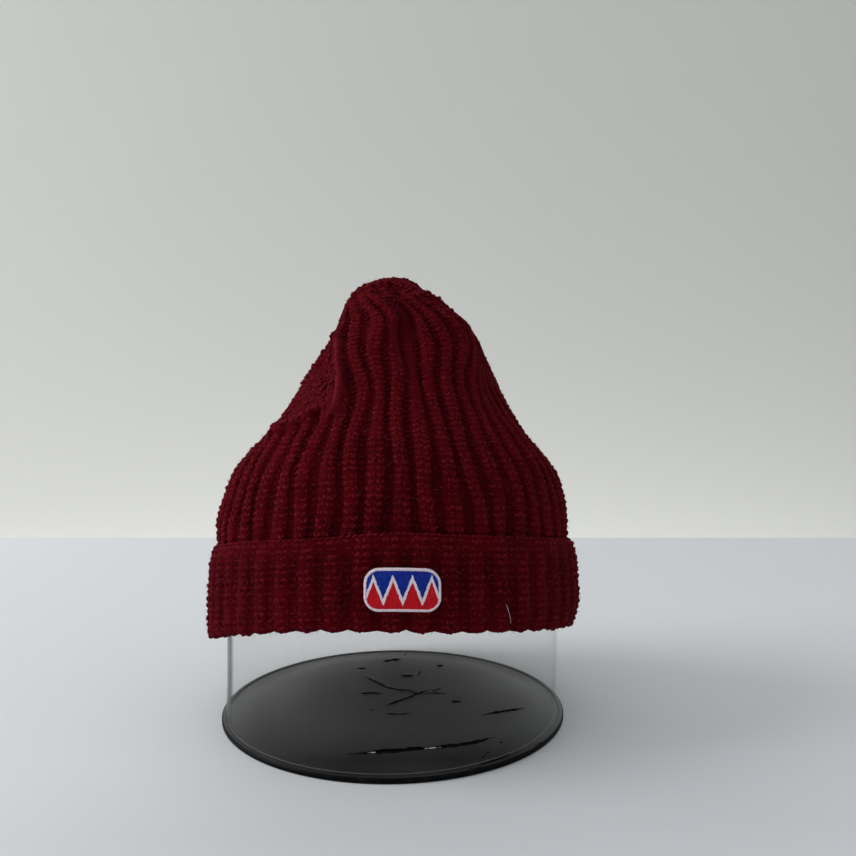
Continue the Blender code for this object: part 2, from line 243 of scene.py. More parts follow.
# Folds that run up the crown: a valley's turn where it starts and where it is full, the two shares of the
# dome's height, its depth as a share of the section's radius, its spread in degrees and the ribs that it
# takes in. A negative depth is a ridge.
Fold = namedtuple("Fold", "turn_low turn_high start full depth spread ribs")
FOLDS = [
    Fold(14.0, 2.0, 0.30, 0.72, 0.200, 5.5, 1.0),
    Fold(-42.0, -76.0, 0.36, 0.72, 0.240, 9.0, 6.0),
    Fold(-30.0, -58.0, 0.36, 0.72, -0.020, 7.0, 0.0),
    Fold(52.0, 76.0, 0.34, 0.74, 0.120, 9.0, 5.0),
    Fold(118.0, 126.0, 0.24, 0.66, 0.200, 9.0, 4.0),
    Fold(182.0, 178.0, 0.20, 0.62, 0.180, 9.0, 4.0),
    Fold(-120.0, -128.0, 0.24, 0.66, 0.200, 9.0, 4.0),
]
FOLD_FADE_FROM = 0.84
TURN_SAMPLES = 1441
NORMAL_STEP = 0.05

# Dents pressed into the crown: middle, reach, depth as a share of the section's radius, and lean in degrees
Dent = namedtuple("Dent", "turn half_turn up half_up depth lean")
DENTS = [
    Dent(-68.0, 31.0, 0.570, 0.200, 0.110, -70.0),
    Dent(48.0, 26.0, 0.420, 0.120, 0.035, 0.0),
    Dent(150.0, 34.0, 0.400, 0.150, 0.060, 0.0),
    Dent(-158.0, 28.0, 0.520, 0.160, 0.050, 0.0),
    Dent(-2.0, 26.0, 0.900, 0.060, 0.170, 0.0),
]
DENT_EDGE = 1.2

# Sharp ridges where the cloth is folded over: the line that each follows, as turns and shares of the dome's
# height, its height as a share of the section's radius, and its spread in metres
Ridge = namedtuple("Ridge", "height spread line")
RIDGES = [
    Ridge(0.060, 0.0020, [(-26.0, 0.30), (-28.0, 0.38), (-30.5, 0.49), (-36.0, 0.60), (-44.0, 0.66),
                          (-54.0, 0.70)]),
    Ridge(0.068, 0.0016, [(-29.0, 0.39), (-38.0, 0.354), (-43.0, 0.332), (-52.0, 0.318), (-66.0, 0.30)]),
]
RIDGE_FADE_FROM = -0.05
RIDGE_FADE = 0.2

# Places where the cloth is pressed in and its ribs are lost: the share of their depth that is lost, turns,
# and at each turn the shares of the dome's height between which the place lies
Pressed = namedtuple("Pressed", "share turns lows highs")
PRESSED = [
    Pressed(0.90, (-115, -90, -66, -50, -38, -29), (0.25, 0.26, 0.275, 0.30, 0.34, 0.37),
            (0.62, 0.72, 0.74, 0.68, 0.60, 0.46)),
]
PRESS_EDGE = 0.035
TOP_SMOOTH = 0.8
TOP_SMOOTH_FROM = 0.76
TOP_SMOOTH_FULL = 0.90

# Profile of the cuff from its upper edge down its face and round the hem to the tube. On the face, down is a
# share of the cuff's height and out a share of its bulge. Round the hem, across is a share of the way from
# the face in to the tube and up a share of the fold's height. Groove and scallop are shares of their depths.
Profile = namedtuple("Profile", "down out across up groove scallop")
PROFILE = [
    Profile(0.000, 0.20, 0.00, 0.00, 0.05, 0.0),
    Profile(0.035, 0.42, 0.00, 0.00, 0.08, 0.0),
    Profile(0.130, 0.63, 0.00, 0.00, 0.25, 0.0),
    Profile(0.210, 0.76, 0.00, 0.00, 0.90, 0.0),
    Profile(0.450, 0.89, 0.00, 0.00, 1.00, 0.0),
    Profile(0.700, 0.97, 0.00, 0.00, 1.00, 0.0),
    Profile(0.880, 1.00, 0.00, 0.00, 0.85, 0.0),
    Profile(0.950, 0.95, 0.00, 0.00, 0.60, 0.3),
    Profile(1.000, 1.00, 0.11, 0.14, 0.40, 0.7),
    Profile(1.000, 1.00, 0.28, 0.00, 0.20, 1.0),
    Profile(1.000, 1.00, 0.62, 0.00, 0.00, 1.0),
    Profile(1.000, 1.00, 0.88, 0.14, 0.00, 0.5),
    Profile(1.000, 1.00, 1.00, 0.45, 0.00, 0.0),
]
LAST_PROFILE = len(PROFILE) - 1
HEM_FROM = 8
STITCHES_TO = LAST_PROFILE - 2
FACE_FULL = 0.88
LINING_LEVELS = (0.70, 0.45, 0.21, 0.00)

# Waves of the cuff's two lines: where each lies, its spread in degrees, and how much it raises the hem and
# the upper edge as shares of the cuff's height in front
Wave = namedtuple("Wave", "turn spread hem edge")
WAVES = [
    Wave(-85.0, 14.0, -0.055, 0.000),
    Wave(-24.0, 13.0, 0.041, -0.013),
    Wave(-1.0, 10.0, 0.023, 0.030),
    Wave(72.0, 11.0, 0.028, 0.036),
]

# Creases of the film on the base: each one's widest width, and its points to the right and to the back of
# the base's middle, all in millimetres
Crease = namedtuple("Crease", "width points")
CREASES = [
    Crease(2.6, [(-16.5, 38.5), (-10.2, 30.4), (-3.7, 21.7), (3.0, 17.2), (11.1, 15.2)]),
    Crease(2.8, [(-4.0, -5.2), (1.1, 0.0), (7.2, 5.3), (13.1, 12.0), (19.0, 17.0)]),
    Crease(2.2, [(5.0, 17.0), (13.1, 11.3), (20.4, 11.6), (27.7, 10.7)]),
    Crease(1.8, [(19.0, 12.0), (21.7, 16.2), (25.0, 18.0)]),
    Crease(4.6, [(-20.1, -60.4), (-6.1, -58.9), (7.1, -56.8), (20.9, -54.8), (34.1, -51.7), (45.7, -45.0)]),
    Crease(3.2, [(42.9, -18.8), (53.8, -14.8), (64.9, -10.3)]),
    Crease(3.0, [(-17.1, 12.7), (-11.9, 12.9), (-6.7, 12.2)]),
    Crease(2.0, [(-4.6, -15.2), (1.5, -16.1), (7.9, -15.7)]),
    Crease(1.6, [(-12.3, -10.2), (-9.9, -10.3)]),
    Crease(2.6, [(29.0, -0.6), (34.6, -0.8)]),
    Crease(2.8, [(-20.9, 51.9), (-15.8, 51.4)]),
    Crease(3.2, [(3.7, 39.1), (11.1, 38.5)]),
    Crease(1.4, [(12.8, 38.7), (15.3, 46.4)]),
    Crease(3.2, [(24.7, 54.6), (28.1, 54.4)]),
    Crease(3.4, [(-6.3, 64.0), (-1.1, 66.3), (3.9, 67.9)]),
    Crease(1.4, [(6.1, 75.2), (8.4, 81.6)]),
    Crease(1.6, [(36.5, -72.5), (43.8, -68.4), (51.0, -63.2)]),
    Crease(1.2, [(37.1, -67.3), (42.0, -60.2)]),
    Crease(1.4, [(30.6, -77.0), (37.9, -75.9)]),
    Crease(1.4, [(62.0, -55.4), (67.7, -50.9)]),
    Crease(2.0, [(47.2, -51.3), (48.9, -50.9)]),
]
# Short stretches of those creases with white painted glints, in the same units
PAINTED_GLINTS = [
    Crease(0.9, [(-11.6, -60.6), (-9.4, -60.3), (-7.2, -60.2)]),
    Crease(1.2, [(13.8, -57.2), (17.4, -56.8), (21.0, -56.0)]),
    Crease(1.1, [(13.9, 9.6), (15.4, 9.8), (16.9, 10.0)]),
    Crease(0.9, [(19.4, 12.2), (20.4, 12.6)]),
]
CREASE_SIDES = 8
CREASE_STEPS = 6
CREASE_ENDS = (0.03, 0.97)
CREASE_TAPER = 0.6
CREASE_EVEN = 0.82
CREASE_SWELL = 0.18
CREASE_SWELLS = 9
CREASE_FLATNESS = 0.45
PAINTED_GLINT_RISE = 0.0005
CREASE_STRAY = 0.22
CREASE_UNEVEN = (0.65, 1.30)

# Shallow groove inside the base's rim: distances in from the edge and down from the top
BASE_GROOVE = [(0.0021, 0.0), (0.0024, 0.0004), (0.0040, 0.0004), (0.0046, DISC_SINK)]

# One pale hair on the cuff: the turns and heights of its two ends, and how far it stands off and arches
LINT_TURNS = (29.9, 31.4)
LINT_HEIGHTS = (0.0730, 0.0648)
LINT_RADIUS = 0.00008
LINT_LIFT = 0.0004
LINT_ARCH = 0.0006
LINT_STEPS = 8

# Stage: the corners of the table, whose back edge lies square to the view, and of the wall, and the soft
# lights with their places, aims, widths, heights and powers
TABLE_CORNERS = [(-3, -2, 0), (3, -2, 0), (3, 0.3555, 0), (-3, 0.5985, 0)]
WALL_CORNERS = [(-4, 0.75, -1), (4, 0.75, -1), (4, 0.75, 3), (-4, 0.75, 3)]
Lamp = namedtuple("Lamp", "name place aim width height power")
LAMPS = [
    Lamp("window", (-2.40, -0.15, 1.50), (0, 0.1, 0.1), 1.8, 1.8, 44),
    Lamp("wall_glow", (-0.10, 0.50, -0.30), (-0.10, 0.75, 0.0), 2.4, 0.12, 3.2),
]
SKY_STRENGTH = 0.80

# Places within one rib where the walls have their columns of corners
RIB_COLUMNS = (-0.32, -0.20, 0.0, 0.20, 0.32, 0.5)


def ease(value, low, high):
    """Rises smoothly from 0 at low to 1 at high."""
    share = np.clip((value - low) / (high - low), 0.0, 1.0)
    return share * share * (3 - 2 * share)


def turn_gap(turns, centre):
    """Signed angles from a centre to the turns, from -180 to 180."""
    return (turns - centre + 180) % 360 - 180


def bell(turns, middle, spread):
    """How near each turn lies to a middle, from 0 to 1."""
    return np.exp(-0.5 * (turn_gap(turns, middle) / spread) ** 2)


def on_rows(columns, place):
    """Values at a place counted in rows, on a smooth curve through the rows of an array."""
    last = len(columns) - 1
    row = min(int(place), last - 1)
    share = place - row
    here, there = columns[row], columns[row + 1]
    before = columns[row - 1] if row > 0 else 2 * here - there
    after = columns[row + 2] if row + 2 <= last else 2 * there - here
    blend = 3 * share**2 - 2 * share**3
    leave = share - 2 * share**2 + share**3
    arrive = share**3 - share**2
    return here + (there - here) * blend + (there - before) / 2 * leave + (after - here) / 2 * arrive


def section_at(level):
    """The crown's section at a level."""
    return Section(*on_rows(np.array(SECTIONS, dtype=float), level))


def fold_strength(fold, up):
    """How far a fold has formed at a share of the dome's height, from 0 to 1."""
    return ease(up, fold.start, fold.full)


def fold_shape(fold, turns, up):
    """How near each turn lies to the middle of a fold, from 0 to 1."""
    middle = fold.turn_low + (fold.turn_high - fold.turn_low) * fold_strength(fold, up)
    return bell(turns, middle, fold.spread)


def rib_turns(places, section):
    """Turns of places on a section: even, but crowded where a fold takes ribs in, and wandering a little."""
    samples = np.linspace(-180, 180, TURN_SAMPLES)
    taken = sum(fold.ribs * fold_strength(fold, section.up) for fold in FOLDS)
    crowd = np.full(TURN_SAMPLES, (RIBS - taken) / 360)
    for fold in FOLDS:
        share = fold.ribs * fold_strength(fold, section.up) / (fold.spread * math.sqrt(2 * math.pi))
        crowd += share * fold_shape(fold, samples, section.up)
    counted = np.concatenate([[0], np.cumsum((crowd[1:] + crowd[:-1]) / 2 * np.diff(samples))])
    counted *= RIBS / counted[-1]
    counted -= np.interp(section.rib, samples, counted)
    round_turn = 2 * math.pi * places / RIBS
    wander = sum(np.sin(around * round_turn + upward * section.up) for around, upward in SWAY_WAVES)
    wrapped = (places + RIB_SWAY / PITCH_TURN * wander - counted[0]) % RIBS + counted[0]
    return np.interp(wrapped, counted, samples)


def rib_relief(turns, up):
    """How deep the grooves are, from 0 to 1: shallow where the cloth is pressed in and at the top."""
    smooth = TOP_SMOOTH * ease(up, TOP_SMOOTH_FROM, TOP_SMOOTH_FULL)
    for press in PRESSED:
        low = np.interp(turns, press.turns, press.lows)
        high = np.interp(turns, press.turns, press.highs)
        side = ease(turns, *press.turns[:2]) * (1 - ease(turns, *press.turns[-2:]))
        smooth = np.maximum(smooth, press.share * side * ease(up, low, low + PRESS_EDGE)
                            * (1 - ease(up, high, high + PRESS_EDGE)))
    return 1 - smooth


def nearest_ridge(turns, section):
    """How near each turn of a section lies to the nearest ridge, from 0 to 1."""
    return np.max([ridge_share(ridge, turns, section) for ridge in RIDGES], axis=0)


def ridge_share(ridge, turns, section):
    """How near each turn of a section lies to a ridge's line, from 0 to 1, less towards the line's ends."""
    degree = math.radians(1) * HAT_RADIUS * section.width
    line = np.array(ridge.line)
    nearest = np.full(len(turns), np.inf)
    along = np.zeros(len(turns))
    for k, (here, there) in enumerate(zip(line, line[1:])):
        start = np.array([turn_gap(here[0], turns) * degree,
                          np.full(len(turns), (here[1] - section.up) * DOME_HEIGHT)])
        run = np.array([[(there[0] - here[0]) * degree], [(there[1] - here[1]) * DOME_HEIGHT]])
        share = np.clip(-(start * run).sum(axis=0) / (run * run).sum(), 0, 1)
        gap = np.linalg.norm(start + run * share, axis=0)
        along = np.where(gap < nearest, (k + share) / (len(line) - 1), along)
        nearest = np.minimum(nearest, gap)
    ends = ease(np.minimum(along, 1 - along), RIDGE_FADE_FROM, RIDGE_FADE)
    return np.exp(-0.5 * (nearest / ridge.spread) ** 2) * ends


def dome_points(turns, level):
    """Crests of the crown above the tube."""
    section = section_at(level)
    fade = 1 - ease(section.up, FOLD_FADE_FROM, 1.0)
    reach = np.ones(len(turns))
    for fold in FOLDS:
        reach -= fold.depth * fold_strength(fold, section.up) * fade * fold_shape(fold, turns, section.up)
    for dent in DENTS:
        middle = dent.turn + dent.lean * (section.up - dent.up)
        across = turn_gap(turns, middle) / dent.half_turn
        along = (section.up - dent.up) / dent.half_up
        reach -= dent.depth * np.clip(1 - across**2 - along**2, 0, 1) ** DENT_EDGE
    for ridge in RIDGES:
        reach += ridge.height * ridge_share(ridge, turns, section)
    sine, cosine = np.sin(np.radians(turns)), np.cos(np.radians(turns))
    right = section.aside + section.width * reach * sine
    back = section.back - section.depth * reach * cosine
    up = section.lift * reach * cosine
    return np.stack([HAT_RADIUS * right, HAT_RADIUS * back,
                     DOME_FOOT + DOME_HEIGHT * section.up + HAT_RADIUS * up], axis=-1)


def unit(vectors):
    """Vectors of length one in the same directions."""
    return vectors / np.maximum(np.linalg.norm(vectors, axis=-1, keepdims=True), 1e-12)


def dome_normals(turns, level):
    """Directions that point out of the crown at the same points."""
    above, below = min(level + NORMAL_STEP, LAST_LEVEL), max(level - NORMAL_STEP, 0)
    rising = dome_points(turns, above) - dome_points(turns, below)
    along = dome_points(turns + NORMAL_STEP, level) - dome_points(turns - NORMAL_STEP, level)
    return unit(np.cross(along, rising))


def on_cylinder(turns, radii, heights):
    """Points at turns, radii and heights round the stand's axis."""
    sine, cosine = np.sin(np.radians(turns)), np.cos(np.radians(turns))
    return np.stack([radii * sine, -radii * cosine, heights + 0 * sine], axis=-1)


def wave_height(turns, shares):
    """How much the waves raise a line at the turns, with one share for each wave."""
    bells = [share * bell(turns, wave.turn, wave.spread) for share, wave in zip(shares, WAVES)]
    return CUFF_HEIGHT_FRONT * sum(bells)


def hem_height(turns):
    """Height of the hem's lowest line round the stand."""
    sine, cosine = np.sin(np.radians(turns)), np.cos(np.radians(turns))
    tilt = BASE_THICKNESS + HEM_CLEARANCE + HEM_RISE * (1 + cosine) / 2 + HEM_ROLL * (1 + sine) / 2
    return tilt + wave_height(turns, [wave.hem for wave in WAVES])


def cuff_height(turns):
    """Height of the cuff's upper edge above its hem."""
    front = (1 + np.cos(np.radians(turns))) / 2
    even = CUFF_HEIGHT_BACK + (CUFF_HEIGHT_FRONT - CUFF_HEIGHT_BACK) * front
    return even + wave_height(turns, [wave.edge - wave.hem for wave in WAVES])


def cuff_reach(turns, down):
    """How far the cuff's rib crests stand out from its inside."""
    left = (1 - np.sin(np.radians(turns))) / 2
    face = PROFILE[:HEM_FROM]
    out = np.interp(down, [row.down for row in face], [row.out for row in face])
    return CUFF_BULGE * (1 - CUFF_SNUG_LEFT * left) * out


def crown_crests(places, level):
    """Points of the crown's crests at one level, and the directions that point out of it there."""
    if level < 0:
        turns = rib_turns(places, section_at(0))
        low = hem_height(turns) + HEM_FOLD + CLEARANCE
        heights = low + (DOME_FOOT - low) * (1 + level)
        return on_cylinder(turns, HAT_RADIUS, heights), on_cylinder(turns, 1, 0)
    turns = rib_turns(places, section_at(level))
    return dome_points(turns, level), dome_normals(turns, level)


def crown_relief(places, level):
    """How deep the crown's grooves are at places of one level, from 0 to 1."""
    section = section_at(max(level, 0))
    return rib_relief(rib_turns(places, section), section.up)


def cuff_crests(turns):
    """The cuff's crests for every row of its profile, as radii and heights, without grooves."""
    hem, height = hem_height(turns), cuff_height(turns)
    tuck = CUFF_TUCK * bell(turns, CUFF_TUCK_TURN, CUFF_TUCK_SPREAD)
    face = CUFF_INSIDE + cuff_reach(turns, FACE_FULL) - tuck
    inner = TUBE_RADIUS + CLEARANCE
    radii, heights = [], []
    for i, row in enumerate(PROFILE):
        if i < HEM_FROM:
            tucked = tuck * ease(row.down, CUFF_TUCK_FROM, 1.0)
            radii.append(CUFF_INSIDE + cuff_reach(turns, row.down) - tucked)
            heights.append(hem + height * (1 - row.down))
        else:
            radii.append(face + (inner - face) * row.across)
            heights.append(hem + HEM_FOLD * row.up)
    return np.array(radii), np.array(heights)


def cuff_points(turns, crests, row, recess=0.0):
    """Points on the cuff's outside at a place down its profile, and the directions out of it."""
    radii, heights = crests
    radius, height = on_rows(radii, row), on_rows(heights, row)
    step_up, step_down = max(row - NORMAL_STEP, 0), min(row + NORMAL_STEP, LAST_PROFILE)
    run = on_rows(radii, step_up) - on_rows(radii, step_down)
    rise = on_rows(heights, step_up) - on_rows(heights, step_down)
    length = np.hypot(run, rise)
    outward = on_cylinder(turns, rise / length, 0) - np.stack([0 * run, 0 * run, run / length], axis=-1)
    return on_cylinder(turns, radius, height) - outward * np.reshape(recess, (-1, 1)), outward


def groove_share(places):
    """How far down its groove each place of the cloth lies, from 0 on a rib to 1 between two."""
    return ease(np.abs((places + 0.5) % 1 - 0.5), GROOVE_FROM, GROOVE_FULL)


def wall_places():
    """Places round a wall, with the same columns in each rib."""
    return np.array([rib + column for rib in range(RIBS) for column in RIB_COLUMNS])


class NodeMaker:
    """Adds nodes to a tree: a type, its settings, and the values or links of its sockets."""

    def __init__(self, tree):
        self.tree = tree

    def add(self, kind, settings=None, sockets=None, output=0):
        """Adds a node and hands back one of its outputs."""
        node = self.tree.nodes.new(kind)
        for key, value in (settings or {}).items():
            setattr(node, key, value)
        for key, value in (sockets or {}).items():
            self.plug(node.inputs[key], value)
        return Signal(self, node.outputs[output])

    def plug(self, socket, value):
        """Links a signal to a socket, or sets the socket to a value."""
        if isinstance(value, Signal):
            self.tree.links.new(value.socket, socket)
        elif value is not None:
            socket.default_value = value

    def maths(self, operation, *values, clamp=False):
        settings = {"operation": operation, "use_clamp": clamp}
        return self.add("ShaderNodeMath", settings, dict(enumerate(values)))

    def mix(self, factor, first, second):
        """From the first colour to the second."""
        ends = {6: first if isinstance(first, Signal) else (*first, 1.0),
                7: second if isinstance(second, Signal) else (*second, 1.0)}
        return self.add("ShaderNodeMix", {"data_type": "RGBA"}, {0: factor, **ends}, output=2)


class Signal:
    """What a node puts out. Numbers take part in Python arithmetic, which adds Math nodes."""

    def __init__(self, maker, socket):
        self.maker = maker
        self.socket = socket

    def __add__(self, other):
        return self.maker.maths("ADD", self, other)

    def __radd__(self, other):
        return self.maker.maths("ADD", other, self)

    def __sub__(self, other):
        return self.maker.maths("SUBTRACT", self, other)

    def __rsub__(self, other):
        return self.maker.maths("SUBTRACT", other, self)

    def __mul__(self, other):
        return self.maker.maths("MULTIPLY", self, other)

    def __rmul__(self, other):
        return self.maker.maths("MULTIPLY", other, self)

    def __pow__(self, other):
        return self.maker.maths("POWER", self, other)

    def __abs__(self):
        return self.maker.maths("ABSOLUTE", self)

    def wave(self):
        """A sine between 0 and 1 with one period for each unit."""
        return self.maker.maths("SINE", self * (2 * math.pi)) * 0.5 + 0.5

    def within(self, low, high):
        """Rises from 0 at low to 1 at high."""
        return self.maker.maths("MULTIPLY", self - low, 1 / (high - low), clamp=True)


class Finish(NodeMaker):
    """A material in the making, with the nodes that every finish here needs."""

    def __init__(self, name, constants):
        self.material = bpy.data.materials.new(name)
        self.material.use_nodes = True
        super().__init__(self.material.node_tree)
        self.shader = self.tree.nodes["Principled BSDF"]
        for socket, value in constants.items():
            self.set(socket, value)

    def set(self, socket, value):
        """Links or sets a socket of the material's shader."""
        self.plug(self.shader.inputs[socket], value)

    def place(self):
        """Where a point lies in the part's frame."""
        return self.add("ShaderNodeTexCoord", output="Object")

    def axis(self, index):
        """How far to the right, to the back or up a place lies, for 0, 1 or 2."""
        return self.add("ShaderNodeSeparateXYZ", {}, {0: self.place()}, output=index)

    def uv(self):
        """The two coordinates of the piece's own map."""
        split = self.add("ShaderNodeSeparateXYZ", {}, {0: self.add("ShaderNodeTexCoord", output="UV")})
        return split, Signal(self, split.socket.node.outputs[1])

    def attribute(self, name):
        return self.add("ShaderNodeAttribute", {"attribute_name": name}, output="Fac")

    def noise(self, scale, detail=2.0, roughness=0.5, at=None):
        return self.add("ShaderNodeTexNoise", {}, {"Vector": at or self.place(), "Scale": scale,
                                                    "Detail": detail, "Roughness": roughness})

    def bump(self, height, distance, strength):
        sockets = {"Height": height, "Distance": distance, "Strength": strength}
        self.set("Normal", self.add("ShaderNodeBump", {}, sockets))


def knit_finish():
    """Burgundy wool with pink fibres, darker in the grooves by painted shade and paler by painted highlights
    on the stitches' backs and along the folds' ridges.
    """
    finish = Finish("burgundy knit", {"Roughness": 0.95, "Specular IOR Level": 0.02, "Sheen Weight": 0.05,
                                      "Sheen Roughness": 0.4, "Sheen Tint": (1.0, 0.16, 0.28, 1.0)})
    along, around = finish.uv()
    plies = (along * 2.5 + around).wave()
    fibres = finish.noise(5200, 2.0, 0.6)
    tone = finish.noise(55, 3.0, 0.6)
    strand = finish.noise(650, 2.0, 0.6)
    colour = finish.mix(tone.within(0.35, 0.65), (0.058, 0.0005, 0.0020), (0.094, 0.0010, 0.0038))
    # Painted highlight on the middle of each stitch, brighter on some stitches than on others
    back = (1 - abs(along - 0.5) * 2).within(0.10, 0.60) * strand.within(0.38, 0.62)
    colour = finish.mix(back * 0.80, colour, (0.180, 0.0115, 0.0190))
    colour = finish.mix(fibres.within(0.60, 0.72) * 0.40, colour, (0.330, 0.0780, 0.0880))
    colour = finish.mix((1 - plies) * 0.30, colour, (0.044, 0.0004, 0.0020))
    # Painted shade: darker where the attribute says the yarn lies in shade, most in the grooves
    colour = finish.mix(finish.attribute("painted_shade") * 0.58, colour, (0.020, 0.0003, 0.0012))
    # Painted highlight along the sharp ridges of the folds
    colour = finish.mix(finish.attribute("ridge_highlight") * 0.50, colour, (0.220, 0.0180, 0.0300))
    finish.set("Base Color", colour)
    finish.bump(plies * 0.6 + fibres * 0.8, 0.00022, 0.9)
    return finish.material


def stitched_finish():
    """Satin threads of a patch: two colours of interlocking teeth with a pale zigzag between them, and painted
    shade between the threads.
    """
    finish = Finish("stitched patch", {"Roughness": 0.5, "Specular IOR Level": 0.15})
    across, up = finish.uv()
    thread = across * PATCH_THREADS
    number = finish.maths("FLOOR", thread)
    spot = finish.add("ShaderNodeCombineXYZ", {}, {0: number * 3.7, 1: up * 5.0})
    strand = finish.noise(1.0, 2.0, at=spot)
    # Painted shade in the gaps between the threads
    thread_gap_shade = (abs(finish.maths("FRACT", thread) - 0.5) * 2).within(0.40, 1.0)
    saw = finish.maths("PINGPONG", across * PATCH_TEETH * 2, 1.0)
    line = up + (strand - 0.5) * 0.16 - (0.22 + 0.56 * saw)
    upper = line.within(-0.005, 0.005)
    red = finish.mix(strand.within(0.30, 0.70), (0.480, 0.001, 0.006), (0.800, 0.006, 0.018))
    blue = finish.mix(strand.within(0.30, 0.70), (0.001, 0.012, 0.200), (0.006, 0.045, 0.460))
    colour = finish.mix(upper, red, blue)
    colour = finish.mix(1 - abs(line).within(0.075, 0.090), colour, (0.92, 0.84, 0.88))
    finish.set("Base Color", finish.mix(thread_gap_shade * 0.45, colour, (0.020, 0.004, 0.024)))
    finish.bump(finish.noise(4000, 2.0), 0.00008, 0.6)
    return finish.material


def border_finish():
    """Pale satin thread with a pink cast."""
    finish = Finish("border thread", {"Roughness": 0.5, "Specular IOR Level": 0.3})
    shade = finish.noise(1200, 2.0).within(0.35, 0.7)
    finish.set("Base Color", finish.mix(shade, (0.70, 0.56, 0.62), (0.96, 0.86, 0.90)))
    finish.bump(finish.noise(5000, 1.0), 0.00006, 0.6)
    return finish.material


def fuzz_finish():
    """Fibres of the same wool, paler and pinker than the yarn."""
    finish = Finish("loose fibres", {"Roughness": 0.9, "Specular IOR Level": 0.1})
    shade = finish.noise(90, 2.0).within(0.35, 0.65)
    finish.set("Base Color", finish.mix(shade, (0.14, 0.006, 0.018), (0.30, 0.050, 0.080)))
    return finish.material


def clear_finish():
    """Thin clear sheet, seen mostly at its edges and lips and by faint scratches; the dark line along its
    outline is painted stronger on the left than on the right.
    """
    finish = Finish("clear sheet", {"IOR": 1.45, "Specular IOR Level": 0.03})
    facing = finish.add("ShaderNodeLayerWeight", {}, {"Blend": 0.5}, output="Facing")
    lip = finish.attribute("lip")
    across = finish.axis(0)
    stretch = finish.add("ShaderNodeMapping", {}, {"Vector": finish.place(), "Scale": (1.0, 1.0, 0.06)})
    streaks = finish.noise(260, 3.0, 0.7, at=stretch).within(0.62, 0.80)
    # Painted shade: the dark line at the outline is painted stronger on the left side than on the right
    edge = across.within(0.04, -0.06) * 0.50 + 0.05
    alpha = 0.030 + facing**3 * 0.03 + facing.within(0.78, 0.88) * edge + streaks * 0.05 + lip * 0.16
    finish.set("Base Color", finish.mix(lip, (0.030, 0.034, 0.036), (0.60, 0.61, 0.61)))
    finish.set("Alpha", alpha)
    finish.set("Roughness", 0.05 + streaks * 0.25)
    return finish.material


def disc_finish():
    """Black gloss under a hazy film, with painted light that makes it paler towards the back and the right,
    and darker in a band along the back edge.
    """
    finish = Finish("black gloss", {"IOR": 1.45, "Specular IOR Level": 0.42})
    haze = finish.noise(14, 3.0, 0.6).within(0.30, 0.75)
    specks = finish.noise(700, 2.0, 0.7).within(0.70, 0.80)
    aside, depth = finish.axis(0), finish.axis(1)
    reach = finish.add("ShaderNodeVectorMath", {"operation": "LENGTH"}, {0: finish.place()}, output=1)
    # Darker in a band along the back edge
    back_edge_band = (reach + haze * 0.004).within(0.073, 0.081) * depth.within(-0.010, 0.040)
    # Painted light: the film's colour is paler towards the back and the right
    painted_back_light = depth.within(-0.066, 0.020) * (0.40 + 0.60 * aside.within(-0.070, 0.020)) * (1 - back_edge_band * 0.65)
    film = finish.mix(painted_back_light, (0.018, 0.0185, 0.019), (0.320, 0.322, 0.326))
    finish.set("Base Color", finish.mix(haze * 0.15 + specks * 0.15, film, (0.180, 0.181, 0.183)))
    finish.set("Roughness", 0.44 + haze * 0.12)
    finish.bump(finish.noise(30, 2.0, 0.5), 0.0004, 0.25)
    return finish.material


def rim_finish():
    """The bare black edge of the base, a little scuffed."""
    finish = Finish("black rim", {"IOR": 1.45, "Specular IOR Level": 0.06})
    scuffs = finish.noise(260, 2.0, 0.6).within(0.55, 0.75)
    finish.set("Base Color", finish.mix(scuffs, (0.0020, 0.0020, 0.0022), (0.0110, 0.0112, 0.0115)))
    finish.set("Roughness", 0.40 + scuffs * 0.25)
    return finish.material


def film_finish():
    """Film raised along a crease, where it looks wet and black."""
    finish = Finish("film crease", {"IOR": 1.5, "Specular IOR Level": 0.10})
    shade = finish.noise(300).within(0.4, 0.7)
    finish.set("Base Color", finish.mix(shade, (0.0010, 0.0010, 0.0010), (0.0030, 0.0030, 0.0030)))
    finish.set("Roughness", 0.10 + shade * 0.30)
    finish.bump(finish.noise(420, 2.0), 0.0002, 0.5)
    return finish.material


def painted_glint_finish():
    """Painted glints: white patches on top of a crease where highlights would catch it."""
    finish = Finish("white film", {"IOR": 1.5, "Specular IOR Level": 0.5})
    # Painted glint, broken up into white spots
    glint_spots = finish.noise(900, 2.0).within(0.42, 0.58)
    finish.set("Base Color", finish.mix(glint_spots, (0.10, 0.10, 0.10), (0.90, 0.90, 0.92)))
    finish.set("Roughness", 0.15 + glint_spots * 0.3)
    return finish.material


def lint_finish():
    """A pale hair with a pink cast."""
    finish = Finish("pale hair", {"Roughness": 0.5})
    shade = finish.noise(400).within(0.4, 0.6)
    finish.set("Base Color", finish.mix(shade, (0.55, 0.42, 0.42), (0.80, 0.70, 0.70)))
    return finish.material


def stage_finish(name, colour, roughness, front=0.0):
    """A pale matt surface, darker by a share in a soft painted shadow in front of the stand."""
    finish = Finish(name, {"Roughness": roughness, "Specular IOR Level": 0.2})
    shade = finish.noise(3.0, 2.0).within(0.3, 0.7) * 0.012
    aside, depth = finish.axis(0), finish.axis(1)
    # Painted shadow: a soft dark patch on the table in front of the stand
    patch = depth.within(-0.06, -0.12) * (1 - abs(aside - 0.05).within(0.08, 0.26))
    finish.set("Base Color", finish.mix(shade + patch * front, colour, (0.0, 0.0, 0.0)))
    return finish.material


